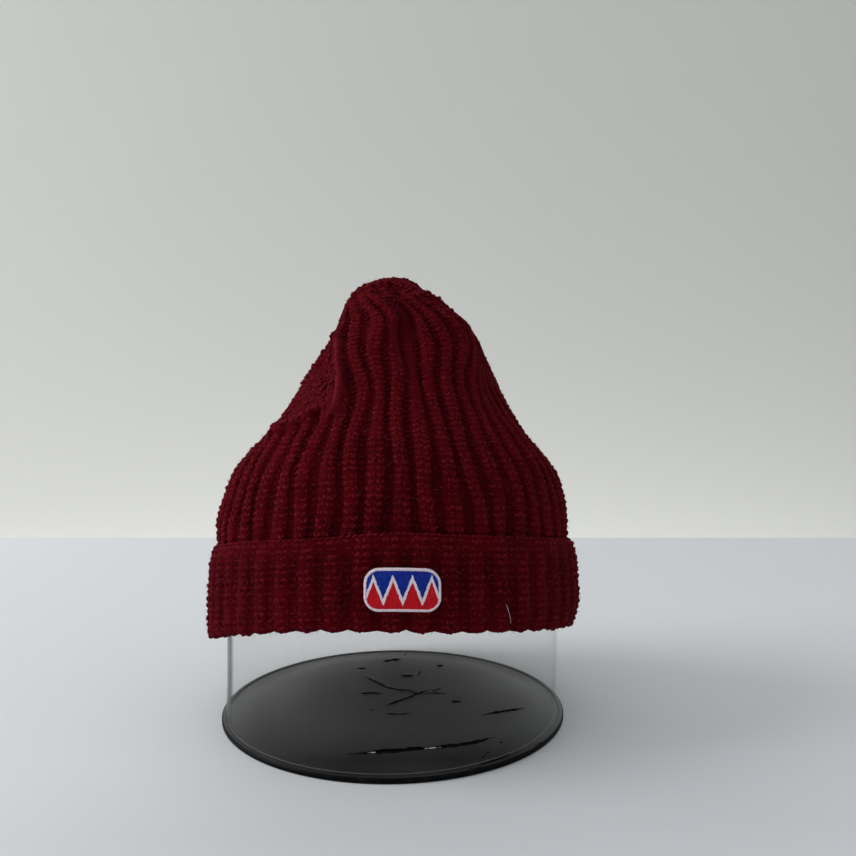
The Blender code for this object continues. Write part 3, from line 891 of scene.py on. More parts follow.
def new_object(name, corners, faces, finish=None):
    """A smooth mesh of corners and faces, set in the scene."""
    mesh = bpy.data.meshes.new(name)
    mesh.from_pydata(np.reshape(corners, (-1, 3)).tolist(), [], faces)
    mesh.shade_smooth()
    if finish:
        mesh.materials.append(finish)
    thing = bpy.data.objects.new(name, mesh)
    bpy.context.scene.collection.objects.link(thing)
    return thing


def give(thing, name, kind, values):
    """Stores an attribute of every corner on a mesh."""
    field = {"FLOAT": "value", "FLOAT_VECTOR": "vector"}[kind]
    attribute = thing.data.attributes.new(name, kind, "POINT")
    attribute.data.foreach_set(field, np.asarray(values, dtype=np.float32).ravel())


def band_faces(rows, columns, closed=True):
    """Quads between neighbouring rows of corners, the last column joined to the first if closed."""
    faces = []
    span = columns if closed else columns - 1
    for row in range(rows - 1):
        for i in range(span):
            j = (i + 1) % columns
            low, high = row * columns, (row + 1) * columns
            faces.append((low + i, low + j, high + j, high + i))
    return faces


def loop_faces(rows, columns):
    """Quads between neighbouring rows of corners and from the last row back to the first."""
    last = (rows - 1) * columns
    closing = [(last + i, last + (i + 1) % columns, (i + 1) % columns, i) for i in range(columns)]
    return band_faces(rows, columns) + closing


def capped_faces(rows, columns):
    """Quads between neighbouring rows, and fans from the first and last row to two corners after them."""
    faces = band_faces(rows, columns)
    last = (rows - 1) * columns
    pole = rows * columns
    for i in range(columns):
        j = (i + 1) % columns
        faces.append((j, i, pole))
        faces.append((last + i, last + j, pole + 1))
    return faces


def keep(piece, nodes):
    """Sets a finished piece to ride with the part, and hides the nodes that it stands for."""
    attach(piece, "root")
    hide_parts(*nodes)


def node_group(name, inputs):
    """A tree of geometry nodes with named inputs, its maker and its input signals by name."""
    group = bpy.data.node_groups.new(name, "GeometryNodeTree")
    for label, kind in inputs:
        group.interface.new_socket(label, in_out="INPUT", socket_type=kind)
    group.interface.new_socket("Geometry", in_out="OUTPUT", socket_type="NodeSocketGeometry")
    maker = NodeMaker(group)
    entry = group.nodes.new("NodeGroupInput")
    signals = {label: Signal(maker, entry.outputs[label]) for label, kind in inputs}
    return group, maker, signals


def close_group(group, maker, geometry, material):
    """Ends a tree: its instances are made real and get their material."""
    real = maker.add("GeometryNodeRealizeInstances", {}, {0: geometry})
    dressed = maker.add("GeometryNodeSetMaterial", {}, {0: real, "Material": material})
    maker.plug(group.nodes.new("NodeGroupOutput").inputs[0], dressed)
    return group


def run_group(thing, group, values, name):
    """Turns an object into what the tree makes of it, as a plain mesh."""
    modifier = thing.modifiers.new(group.name, "NODES")
    modifier.node_group = group
    for item in group.interface.items_tree:
        if item.in_out == "INPUT" and item.name in values:
            modifier[item.identifier] = values[item.name]
    evaluated = thing.evaluated_get(bpy.context.evaluated_depsgraph_get())
    mesh = bpy.data.meshes.new_from_object(evaluated)
    thing.modifiers.remove(modifier)
    made = bpy.data.objects.new(name, mesh)
    mesh.name = name
    bpy.context.scene.collection.objects.link(made)
    bpy.data.objects.remove(thing)
    return made


def stitch_group():
    """Sets a stitch on each point of a net, facing out of the cloth, sized by the net and a bit uneven."""
    inputs = [("Net", "NodeSocketGeometry"), ("Stitch", "NodeSocketObject"),
              ("Material", "NodeSocketMaterial"), ("Tilt", "NodeSocketFloat"),
              ("Uneven", "NodeSocketFloat"), ("Seed", "NodeSocketInt")]
    group, maker, given = node_group("set stitches", inputs)

    def field(name):
        return maker.add("GeometryNodeInputNamedAttribute", {"data_type": "FLOAT_VECTOR"}, {"Name": name})

    def random(low, high, offset):
        """A random vector for each point."""
        seed = maker.maths("ADD", given["Seed"], offset)
        return maker.add("FunctionNodeRandomValue", {"data_type": "FLOAT_VECTOR"},
                         {0: low, 1: high, "Seed": seed})

    def spread(amount):
        """A vector with the same amount in each direction."""
        return maker.add("ShaderNodeCombineXYZ", {}, {0: amount, 1: amount, 2: amount})

    facing = maker.add("FunctionNodeAxesToRotation", {"primary_axis": "Z", "secondary_axis": "Y"},
                       {0: field("outward"), 1: field("along")})
    tilt = random(spread(0 - given["Tilt"]), spread(given["Tilt"]), 0)
    turned = maker.add("FunctionNodeRotateRotation", {"rotation_space": "LOCAL"},
                       {0: facing, 1: maker.add("FunctionNodeEulerToRotation", {}, {0: tilt})})
    sizes = random(spread(1 - given["Uneven"]), spread(1 + given["Uneven"]), 1)
    scale = maker.add("ShaderNodeVectorMath", {"operation": "MULTIPLY"}, {0: field("size"), 1: sizes})
    shape = maker.add("GeometryNodeObjectInfo", {}, {0: given["Stitch"]}, output="Geometry")
    stitches = maker.add("GeometryNodeInstanceOnPoints", {},
                         {"Points": given["Net"], "Instance": shape, "Rotation": turned, "Scale": scale})
    return close_group(group, maker, stitches, given["Material"])


def fuzz_group():
    """Strews loose fibres over a surface, each leaning its own way."""
    inputs = [("Cloth", "NodeSocketGeometry"), ("Fibre", "NodeSocketObject"),
              ("Material", "NodeSocketMaterial"), ("Per Square Metre", "NodeSocketFloat"),
              ("Shortest", "NodeSocketFloat"), ("Longest", "NodeSocketFloat"),
              ("Lean", "NodeSocketFloat"), ("Seed", "NodeSocketInt")]
    group, maker, given = node_group("strew fibres", inputs)
    spots = maker.add("GeometryNodeDistributePointsOnFaces", {},
                      {"Mesh": given["Cloth"], "Density": given["Per Square Metre"], "Seed": given["Seed"]})
    upright = Signal(maker, spots.socket.node.outputs["Rotation"])
    low = maker.add("ShaderNodeCombineXYZ", {}, {0: 0 - given["Lean"], 1: 0 - given["Lean"], 2: -math.pi})
    high = maker.add("ShaderNodeCombineXYZ", {}, {0: given["Lean"], 1: given["Lean"], 2: math.pi})
    lean = maker.add("FunctionNodeRandomValue", {"data_type": "FLOAT_VECTOR"},
                     {0: low, 1: high, "Seed": given["Seed"]})
    turned = maker.add("FunctionNodeRotateRotation", {"rotation_space": "LOCAL"},
                       {0: upright, 1: maker.add("FunctionNodeEulerToRotation", {}, {0: lean})})
    next_seed = maker.maths("ADD", given["Seed"], 1)
    size = maker.add("FunctionNodeRandomValue", {"data_type": "FLOAT"},
                     {2: given["Shortest"], 3: given["Longest"], "Seed": next_seed}, output=1)
    shape = maker.add("GeometryNodeObjectInfo", {}, {0: given["Fibre"]}, output="Geometry")
    fibres = maker.add("GeometryNodeInstanceOnPoints", {},
                       {"Points": spots, "Instance": shape, "Rotation": turned, "Scale": size})
    return close_group(group, maker, fibres, given["Material"])


def tube_mesh(lines, radii, sides):
    """Corners, faces and maps of closed tubes along lines of points, with each point's radius."""
    corners, faces, maps = [], [], []
    for line, sizes in zip(lines, radii):
        line = np.array(line, dtype=float)
        tangents = unit(np.gradient(line, axis=0))
        side = unit(np.cross(tangents, STRAND_UPWARD))
        over = np.cross(side, tangents)
        first = len(corners)
        rings = len(line)
        for point, size, aside, above in zip(line, sizes, side, over):
            for k in range(sides):
                angle = 2 * math.pi * k / sides
                corners.append(point + size * (math.cos(angle) * aside + math.sin(angle) * above))
        corners.append(line[0] - tangents[0] * sizes[0] * STRAND_TIP)
        corners.append(line[-1] + tangents[-1] * sizes[-1] * STRAND_TIP)
        for row in range(rings - 1):
            for k in range(sides):
                j = (k + 1) % sides
                low, high = first + row * sides, first + (row + 1) * sides
                faces.append((low + k, high + k, high + j, low + j))
                low_map, high_map = row / (rings - 1), (row + 1) / (rings - 1)
                maps.append([(low_map, k / sides), (high_map, k / sides),
                             (high_map, (k + 1) / sides), (low_map, (k + 1) / sides)])
        start, end = len(corners) - 2, len(corners) - 1
        top = first + (rings - 1) * sides
        for k in range(sides):
            j = (k + 1) % sides
            faces.append((first + j, start, first + k))
            maps.append([(0, (k + 1) / sides), (0, k / sides), (0, k / sides)])
            faces.append((top + k, end, top + j))
            maps.append([(1, k / sides), (1, k / sides), (1, (k + 1) / sides)])
    return corners, faces, maps


def tube_object(name, lines, radii, sides, finish=None):
    """Closed tubes along lines as one object, with a map that runs along and round each."""
    corners, faces, maps = tube_mesh(lines, radii, sides)
    thing = new_object(name, corners, faces, finish)
    spots = thing.data.uv_layers.new(name="UVMap").data
    spots.foreach_set("uv", np.array([spot for face in maps for spot in face], dtype=np.float32).ravel())
    bm = bmesh.new()
    bm.from_mesh(thing.data)
    bmesh.ops.recalc_face_normals(bm, faces=bm.faces)
    bm.to_mesh(thing.data)
    bm.free()
    thing.data.shade_smooth()
    return thing


def hidden(thing):
    """Keeps a shape that is only set out by a tree from showing itself."""
    thing.hide_render = True
    thing.hide_viewport = True
    return thing


def knit_stitch():
    """One V of yarn pulled wide, with its two legs fat in the middle and tucked under at their ends."""
    line = [(-0.00150, 0.00075, -0.00062), (-0.00086, 0.00024, 0.00002), (0.0, -0.00044, -0.00012),
            (0.00086, 0.00024, 0.00002), (0.00150, 0.00075, -0.00062)]
    sizes = [YARN_RADIUS * share for share in (0.70, 1.0, 0.84, 1.0, 0.70)]
    return hidden(tube_object("stitch_shape", [line], [sizes], STITCH_SIDES))


def purl_stitch():
    """One short bump of yarn across a groove."""
    line = [(-PURL_WIDTH / 2, -0.0002, 0.0003), (0.0, 0.0001, 0.0), (PURL_WIDTH / 2, -0.0002, 0.0003)]
    sizes = [YARN_RADIUS * share for share in (0.7, 0.9, 0.7)]
    return hidden(tube_object("purl_shape", [line], [sizes], 4))


def edge_loop():
    """One slanted loop of the cast-on edge, lying along it."""
    line = [(0.0003, -0.0016, -0.0005), (0.0002, -0.0006, 0.0002), (-0.0001, 0.0006, 0.0002),
            (-0.0004, 0.0016, -0.0005)]
    sizes = [EDGE_LOOP_RADIUS * share for share in (0.7, 1.0, 1.0, 0.7)]
    return hidden(tube_object("edge_shape", [line], [sizes], STITCH_SIDES))


def fibre_shape():
    """A hair one millimetre long that bends over at its tip."""
    line = [(0, 0, -0.0004), (0.00004, 0, 0.0003), (0.00020, 0.00005, 0.0007), (0.00050, 0.00008, 0.0010)]
    return hidden(tube_object("fibre_shape", [line], [[0.000045, 0.00004, 0.00003, 0.00001]], 3))


def net_object(net):
    """Points of a net with the directions and sizes that its stitches take."""
    points, outward, along, size, painted_shade = (np.concatenate([row[k] for row in net]) for k in range(5))
    thing = new_object("net", points, [])
    give(thing, "outward", "FLOAT_VECTOR", outward)
    give(thing, "along", "FLOAT_VECTOR", along)
    give(thing, "size", "FLOAT_VECTOR", size)
    give(thing, "painted_shade", "FLOAT", painted_shade)
    return thing


def set_on_net(group, net, shape, finish, name, seed, tilt=STITCH_TILT, uneven=STITCH_UNEVEN):
    """One piece of a shape that is set on every point of a net."""
    values = {"Stitch": shape, "Material": finish, "Tilt": tilt, "Uneven": uneven, "Seed": seed}
    return run_group(net_object(net), group, values, name)


def even_rows(crests, groove, rows):
    """Points, directions out of and along the cloth, groove shares and row heights, at even steps."""
    points, outward = (np.array([crest[k] for crest in crests]) for k in range(2))
    steps = np.linalg.norm(np.diff(points, axis=0), axis=2)
    lengths = np.concatenate([np.zeros((1, points.shape[1])), np.cumsum(steps, axis=0)])
    wanted = (np.arange(rows) + 0.5) / rows
    fields = np.concatenate([points, outward, groove[..., None]], axis=2)
    laid = np.empty((rows, *fields.shape[1:]))
    for column in range(fields.shape[1]):
        at = wanted * lengths[-1, column]
        for k in range(fields.shape[2]):
            laid[:, column, k] = np.interp(at, lengths[:, column], fields[:, column, k])
    places, facing = laid[..., :3], unit(laid[..., 3:6])
    return places, facing, unit(np.gradient(places, axis=0)), laid[..., 6], lengths[-1] / rows


def crown_cloth(places):
    """The crown's crests from its hem to its top, with the directions out of it, at even rows."""
    levels = np.concatenate([np.linspace(-1, -0.1, CROWN_SAMPLES_LOW),
                             np.linspace(0, LAST_LEVEL, CROWN_SAMPLES)])
    relief = np.array([crown_relief(places, level) for level in levels])
    return even_rows([crown_crests(places, level) for level in levels], relief, STITCH_ROWS)


def lay_stitches(cloth, shown, width, roll=0.0, depth=0.0, painted_shade=0.0, tumble=0.0):
    """Net rows for the shown points of one set of columns, set down by a groove's depth where it is deep."""
    laid, facing, rising, groove, height = cloth
    across = np.cross(rising, facing)
    outward = unit(facing + across * roll)
    points = laid - facing * (STITCH_RECESS + depth * groove)[..., None]
    shift = STITCH_SHIFT * (1 + tumble * (1 - groove[..., None]))
    stray = np.random.default_rng(int(shown.sum())).uniform(-STITCH_STRAY, STITCH_STRAY, points.shape)
    points += stray * shift
    share = width / STITCH_WIDTH
    tall = np.broadcast_to(height / STITCH_HEIGHT, share.shape)
    size = np.stack([share, tall, np.clip(share, STITCH_FLATTEST, 1.0)], axis=-1)
    # The last field is each stitch's painted shade, by its groove's share
    return points[shown], outward[shown], rising[shown], size[shown], (painted_shade * groove)[shown]


def crown_nets():
    """Nets of the crown's stitches and purls above the cuff's edge, in four quarters.

    Where the ribs crowd, single stitches replace the pairs: on each rib, then on each second, then fourth.
    """
    ribs = np.arange(RIBS, dtype=float)
    centre = crown_cloth(ribs)
    laid = centre[0]
    pitch = np.linalg.norm(np.roll(laid, -1, axis=1) - np.roll(laid, 1, axis=1), axis=2) / 2
    turns = np.degrees(np.arctan2(laid[..., 0], -laid[..., 1]))
    edge = hem_height(turns) + cuff_height(turns)
    above = laid[..., 2] > edge - EDGE_OVERLAP
    pairs = [crown_cloth(ribs + side * STITCH_PLACE) for side in (-1, 1)]
    grooves = crown_cloth(ribs + 0.5)
    quarters = []
    for quarter in range(4):
        mine = (ribs // (RIBS / 4) == quarter)[None, :] & above
        wide = mine & (pitch > SINGLE_PITCH)
        net = []
        for side, cloth in zip((-1, 1), pairs):
            roll = side * STITCH_ROLL
            net.append(lay_stitches(cloth, wide, pitch * STITCH_SHARE, roll=roll, tumble=TUMBLE))
        for halving in range(3):
            every = 2**halving
            low, high = SINGLE_PITCH / (2 * every), SINGLE_PITCH / every
            single = mine & (pitch <= high) & (pitch > (low if halving < 2 else 0))
            single &= (ribs % every == 0)[None, :]
            share = SINGLE_SHARE + SINGLE_SHARE_PRESSED * (1 - centre[3])
            width = np.clip(pitch * every * share, SINGLE_NARROWEST, SINGLE_WIDEST)
            net.append(lay_stitches(centre, single, width, depth=SINGLE_RECESS, tumble=TUMBLE))
        depth = (PURL_RECESS - STITCH_RECESS) * np.clip(pitch / RIB_PITCH, 0, 1)
        # Purls lie in the grooves and get full painted shade
        purls = lay_stitches(grooves, wide, pitch * STITCH_SHARE, depth=depth, painted_shade=1.0)
        quarters.append((net, [purls]))
    return quarters


def make_crown_wall(finish):
    """The crown's ribbed wall with its plain inside."""
    places = wall_places()
    grooves = groove_share(places)
    count = len(places)
    levels = np.concatenate([np.linspace(-1, -0.25, WALL_ROWS_LOW), np.linspace(0, LAST_LEVEL, WALL_ROWS)])
    outside, painted_shade, ridge_highlight = [], [], []
    for level in levels:
        points, outward = crown_crests(places, level)
        pitch = np.linalg.norm(np.roll(points, -len(RIB_COLUMNS), axis=0) - points, axis=1)
        relief = crown_relief(places, level)
        depth = np.minimum(GROOVE_DEPTH, GROOVE_PER_PITCH * pitch) * relief
        section = section_at(max(level, 0))
        smooth = nearest_ridge(rib_turns(places, section), section) ** 3
        # Painted highlight along the ridges, where their grooves are smoothed out
        ridge_highlight.append(smooth)
        recess = np.minimum(WALL_RECESS + PRESSED_RECESS * (1 - relief), RECESS_PER_PITCH * pitch)
        recess = recess + depth * grooves
        outside.append(points - outward * (recess * (1 - smooth))[:, None])
        # Painted shade on the wall: a little everywhere, most in the grooves, none along the ridges
        shade = CROWN_WALL_PAINTED_SHADE + (1 - CROWN_WALL_PAINTED_SHADE) * grooves * relief
        painted_shade.append(shade * (1 - smooth))
    inside = []
    turns = rib_turns(places, section_at(0))
    low = hem_height(turns) + HEM_FOLD + CLEARANCE
    inside.append(on_cylinder(turns, TUBE_RADIUS + CLEARANCE, low))
    for level in np.linspace(0, LAST_LEVEL * LINING_SHARE, LINING_ROWS):
        points, outward = crown_crests(places, level)
        inside.append(points - outward * (CROWN_WALL - LINING_RELIEF * (1 - grooves[:, None]) * (level > 0)))
    rings = inside[::-1] + outside
    top = SECTIONS[-1]
    poles = [(HAT_RADIUS * top.aside, HAT_RADIUS * top.back, DOME_FOOT + DOME_HEIGHT * up)
             for up in (LINING_GATHER_UP, GATHER_UP)]
    faces = capped_faces(len(rings), count)
    wall = new_object("crown_wall", np.concatenate([*rings, poles]), faces, finish)
    for name, values in (("painted_shade", painted_shade), ("ridge_highlight", ridge_highlight)):
        give(wall, name, "FLOAT", np.concatenate([np.zeros(len(inside) * count), *values, np.zeros(2)]))
    keep(wall, ["crown"])


def make_crown_stitches(group, stitch, purl, finish):
    """The crown's stitches and the purl bumps in its grooves, in four quarters."""
    for index, (stitches, purls) in enumerate(crown_nets()):
        for name, shape, net in (("stitches", stitch, stitches), ("purls", purl, purls)):
            made = set_on_net(group, net, shape, finish, f"crown_{name}_{index + 1}", seed=11 + index)
            keep(made, ["crown"])


def cuff_cloth(places):
    """The cuff's crests from its edge down its face and round the hem, at even rows."""
    turns = places * PITCH_TURN + CUFF_RIB_TURN
    crests = cuff_crests(turns)
    levels = np.linspace(CUFF_STITCHES_FROM, STITCHES_TO, CUFF_SAMPLES)
    groove = np.interp(levels, range(len(PROFILE)), [row.groove for row in PROFILE])
    groove = np.repeat(groove[:, None], len(places), axis=1)
    return even_rows([cuff_points(turns, crests, place) for place in levels], groove, CUFF_ROWS)


def make_cuff_wall(finish):
    """The cuff's ribbed wall from its edge round the hem to its inside."""
    places = wall_places()
    grooves = groove_share(places)
    turns = places * PITCH_TURN + CUFF_RIB_TURN
    crests = cuff_crests(turns)
    table = np.array(PROFILE, dtype=float)
    waves = sum(np.sin(np.radians(wave * turns)) for wave in SCALLOP_WAVES)
    uneven = SCALLOP_EVEN + SCALLOP_UNEVEN * waves
    outside, painted_shade = [], []
    for place in np.linspace(0, LAST_PROFILE, CUFF_WALL_ROWS):
        row = Profile(*on_rows(table, place))
        recess = WALL_RECESS * (1 - SCALLOP_RECESS * row.scallop) * ease(place, 0.0, CUFF_EDGE_ROUND)
        recess = recess + GROOVE_DEPTH * CUFF_GROOVE_SHARE * row.groove * grooves
        points, outward = cuff_points(turns, crests, place, recess)
        points[:, 2] += HEM_SCALLOP * row.scallop * grooves**4 * uneven
        outside.append(points)
        # Painted shade on the cuff's wall, deeper in its grooves
        painted_shade.append(CUFF_WALL_PAINTED_SHADE + CUFF_GROOVE_PAINTED_SHADE * grooves * row.groove)
    hem, height = hem_height(turns), cuff_height(turns)
    inside = [on_cylinder(turns, TUBE_RADIUS + CLEARANCE, hem + HEM_FOLD)]
    floor = 1 - HEM_FOLD / height
    for down in (floor, *LINING_LEVELS):
        air = np.maximum(cuff_reach(turns, down) - CUFF_WALL, 0.0)
        inside.append(on_cylinder(turns, CUFF_INSIDE + air, hem + height * (1 - down)))
    rings = outside + inside
    faces = [face[::-1] for face in loop_faces(len(rings), len(places))]
    wall = new_object("cuff_wall", np.concatenate(rings), faces, finish)
    give(wall, "painted_shade", "FLOAT", np.concatenate([*painted_shade, np.zeros(len(inside) * len(places))]))
    keep(wall, ["cuff"])


def make_cuff_stitches(group, stitch, purl, finish):
    """The cuff's stitches and the purl bumps in its grooves."""
    ribs = np.arange(RIBS, dtype=float)
    everywhere = np.ones((CUFF_ROWS, RIBS), bool)
    width = np.full((CUFF_ROWS, RIBS), STITCH_SHARE * math.radians(PITCH_TURN) * (CUFF_INSIDE + CUFF_BULGE))
    # The cuff's stitches and purls get painted shade as well
    net = [lay_stitches(cuff_cloth(ribs + side * STITCH_PLACE), everywhere, width, roll=-side * STITCH_ROLL,
                        painted_shade=CUFF_STITCH_PAINTED_SHADE) for side in (-1, 1)]
    face = everywhere & (np.arange(CUFF_ROWS) < CUFF_ROWS - CUFF_ROWS_UNDER)[:, None]
    depth = (PURL_RECESS - STITCH_RECESS) * CUFF_GROOVE_SHARE
    purls = [lay_stitches(cuff_cloth(ribs + 0.5), face, width, depth=depth, painted_shade=CUFF_PURL_PAINTED_SHADE)]
    for name, shape, rows in (("stitches", stitch, net), ("purls", purl, purls)):
        keep(set_on_net(group, rows, shape, finish, f"cuff_{name}", seed=31), ["cuff"])


def make_cuff_edge(group, finish):
    """The slanted loops along the cuff's upper edge."""
    turns = (np.arange(RIBS * EDGE_LOOPS) + 0.5) * PITCH_TURN / EDGE_LOOPS
    heights = hem_height(turns) + cuff_height(turns)
    spots = on_cylinder(turns, CUFF_INSIDE + EDGE_LOOP_RADIUS + EDGE_LOOP_LIFT, heights)
    ahead = unit(np.roll(spots, -1, axis=0) - np.roll(spots, 1, axis=0))
    outward = unit(on_cylinder(turns, 1.0, 0.5))
    net = [(spots, outward, ahead, np.ones_like(spots), np.zeros(len(spots)))]
    edge = set_on_net(group, net, edge_loop(), finish, "cuff_edge", seed=47, tilt=0.16, uneven=0.12)
    keep(edge, ["cuff"])


def patch_point(across, ups, proud):
    """Points on the patch's face, from its middle, with how far they stand off the cuff's crests."""
    radius = CUFF_INSIDE + CUFF_BULGE
    turns = PATCH_TURN + np.degrees(across / radius)
    shares = PATCH_UP + ups / cuff_height(turns)
    radii = CUFF_INSIDE + cuff_reach(turns, 1 - shares) + CLEARANCE + proud
    return on_cylinder(turns, radii, hem_height(turns) + cuff_height(turns) * shares)


def patch_reach(across):
    """Half the patch's height at a distance from its middle, with round corners."""
    past = np.maximum(np.abs(across) - (PATCH_WIDTH / 2 - PATCH_CORNER), 0.0)
    return PATCH_HEIGHT / 2 - PATCH_CORNER + np.sqrt(np.maximum(PATCH_CORNER**2 - past**2, 0.0))


def make_patch_body(finish):
    """The patch with its satin threads in low relief."""
    columns = PATCH_THREADS * COLUMNS_PER_THREAD + 1
    rows = PATCH_ROWS
    across = np.linspace(-1, 1, columns) * (PATCH_WIDTH / 2 - PATCH_INSET)
    rounded = np.abs(np.sin(np.pi * PATCH_THREADS * (across / PATCH_WIDTH + 0.5)))
    reach = patch_reach(across) - PATCH_INSET
    front, maps = [], []
    for row in range(rows):
        share = 2 * row / (rows - 1) - 1
        ups = reach * share
        rim = np.minimum(reach - np.abs(ups), PATCH_WIDTH / 2 - np.abs(across))
        swell = PATCH_SWELL_SHARE * ease(rim, 0.0, PATCH_SWELL_REACH)
        proud = PATCH_THICKNESS * (PATCH_FACE_SHARE + swell) + THREAD_RELIEF * rounded
        front.append(patch_point(across, ups, proud))
        maps.append(np.stack([across / PATCH_WIDTH + 0.5, ups / PATCH_HEIGHT + 0.5], axis=-1))
    back = [patch_point(across, reach * share, 0.0) for share in (1.0, -1.0)]
    corners = np.concatenate(front + back)
    faces = band_faces(rows, columns, closed=False)
    top = rows * columns
    bottom = top + columns
    for i in range(columns - 1):
        faces.append(((rows - 1) * columns + i, (rows - 1) * columns + i + 1, top + i + 1, top + i))
        faces.append((top + i, top + i + 1, bottom + i + 1, bottom + i))
        faces.append((bottom + i, bottom + i + 1, i + 1, i))
    for column, flip in ((0, True), (columns - 1, False)):
        side = [row * columns + column for row in range(rows)] + [top + column, bottom + column]
        faces.append(tuple(side[::-1] if flip else side))
    body = new_object("patch_body", corners, faces, finish)
    spots = np.concatenate([np.concatenate(maps), np.full((2 * columns, 2), 0.5)])
    loops = np.empty(len(body.data.loops), dtype=np.int32)
    body.data.loops.foreach_get("vertex_index", loops)
    body.data.uv_layers.new(name="UVMap").data.foreach_set("uv", spots[loops].astype(np.float32).ravel())
    keep(body, ["patch"])


def make_patch_border(group, finish):
    """The border of wrapped thread round the patch."""
    outline = []
    half_width, half_height = PATCH_WIDTH / 2 - PATCH_BORDER / 2, PATCH_HEIGHT / 2 - PATCH_BORDER / 2
    corner = PATCH_CORNER - PATCH_BORDER / 2
    for quarter in range(4):
        cx = (half_width - corner) * (1, -1, -1, 1)[quarter]
        cy = (half_height - corner) * (1, 1, -1, -1)[quarter]
        for step in range(CORNER_STEPS + 1):
            angle = math.radians(90 * quarter + 90 * step / CORNER_STEPS)
            outline.append((cx + corner * math.cos(angle), cy + corner * math.sin(angle)))
    outline = np.array(outline + outline[:1])
    lengths = np.concatenate([[0], np.cumsum(np.linalg.norm(np.diff(outline, axis=0), axis=1))])
    count = int(lengths[-1] / PATCH_THREAD)
    at = (np.arange(count) + 0.5) / count * lengths[-1]
    spots = np.stack([np.interp(at, lengths, outline[:, k]) for k in range(2)], axis=-1)
    ahead = np.roll(spots, -1, axis=0) - np.roll(spots, 1, axis=0)
    face = PATCH_THICKNESS * PATCH_FACE_SHARE
    points = patch_point(spots[:, 0], spots[:, 1], face)
    step = 0.0002
    nearby = spots + unit(ahead) * step
    along = unit(patch_point(nearby[:, 0], nearby[:, 1], face) - points)
    outward = unit(patch_point(spots[:, 0], spots[:, 1], PATCH_THICKNESS) - points)
    wrap = [(-0.00058, -0.0001, -0.0004), (-0.00034, 0.00002, 0.00020), (0.0, 0.0001, 0.00038),
            (0.00034, 0.00018, 0.00020), (0.00058, 0.0003, -0.0004)]
    shape = hidden(tube_object("wrap_shape", [wrap], [[0.00018, 0.00023, 0.00025, 0.00023, 0.00018]], 5))
    net = [(points, outward, along, np.ones((count, 3)), np.zeros(count))]
    border = set_on_net(group, net, shape, finish, "patch_border", seed=5, tilt=0.08, uneven=0.06)
    keep(border, ["patch"])


def make_tube(finish):
    """The clear tube: a thin wall with rounded lips, whose foot stands a little to the left."""
    turns = np.linspace(0, 360, TUBE_SIDES, endpoint=False)
    lip = TUBE_WALL / 3
    inner = TUBE_RADIUS - TUBE_WALL
    low, high = TUBE_FOOT, TUBE_FOOT + TUBE_HEIGHT
    between = [low + share * FOOT_SHIFT_UP for share in FOOT_RINGS]
    outline = [(inner, low + lip, 0.0), (inner + lip, low, 1.0), (TUBE_RADIUS - lip, low, 1.0),
               (TUBE_RADIUS, low + lip, 0.0), *[(TUBE_RADIUS, height, 0.0) for height in between],
               (TUBE_RADIUS, high - lip, 0.0), (TUBE_RADIUS - lip, high, 1.0), (inner + lip, high, 1.0),
               (inner, high - lip, 0.0), *[(inner, height, 0.0) for height in between[::-1]]]
    rings = [on_cylinder(turns, radius, height) for radius, height, on_lip in outline]
    for ring in rings:
        ring[:, 0] -= FOOT_SHIFT * np.clip(1 - ring[:, 2] / FOOT_SHIFT_UP, 0, 1) ** 2
    faces = loop_faces(len(rings), TUBE_SIDES)
    tube = new_object("clear_tube", np.concatenate(rings), faces, finish)
    tube.data.set_sharp_from_angle(angle=math.radians(TUBE_SHARP_ANGLE))
    give(tube, "lip", "FLOAT", np.repeat([ring[2] for ring in outline], TUBE_SIDES))
    keep(tube, ["stand_tube"])


def make_base(finish, rim):
    """The round base with a shallow groove inside its rim."""
    turns = np.linspace(0, 360, TUBE_SIDES, endpoint=False)
    edge = BASE_THICKNESS / 4
    outline = [(BASE_RADIUS - edge, 0.0), (BASE_RADIUS, edge), (BASE_RADIUS, BASE_THICKNESS - edge),
               (BASE_RADIUS - edge, BASE_THICKNESS)]
    outline += [(BASE_RADIUS - inward, BASE_THICKNESS - down) for inward, down in BASE_GROOVE]
    outline += [(BASE_RADIUS * share, BASE_THICKNESS - DISC_SINK) for share in DISC_RINGS]
    rings = [on_cylinder(turns, radius, height) for radius, height in outline]
    poles = [(0, 0, 0), (0, 0, BASE_THICKNESS - DISC_SINK)]
    faces = capped_faces(len(rings), TUBE_SIDES)
    base = new_object("base_disc", np.concatenate([*rings, poles]), faces, finish)
    base.data.set_sharp_from_angle(angle=math.radians(BASE_SHARP_ANGLE))
    base.data.materials.append(rim)
    for face in base.data.polygons[:SIDE_BANDS * TUBE_SIDES]:
        face.material_index = 1
    keep(base, ["stand_base"])


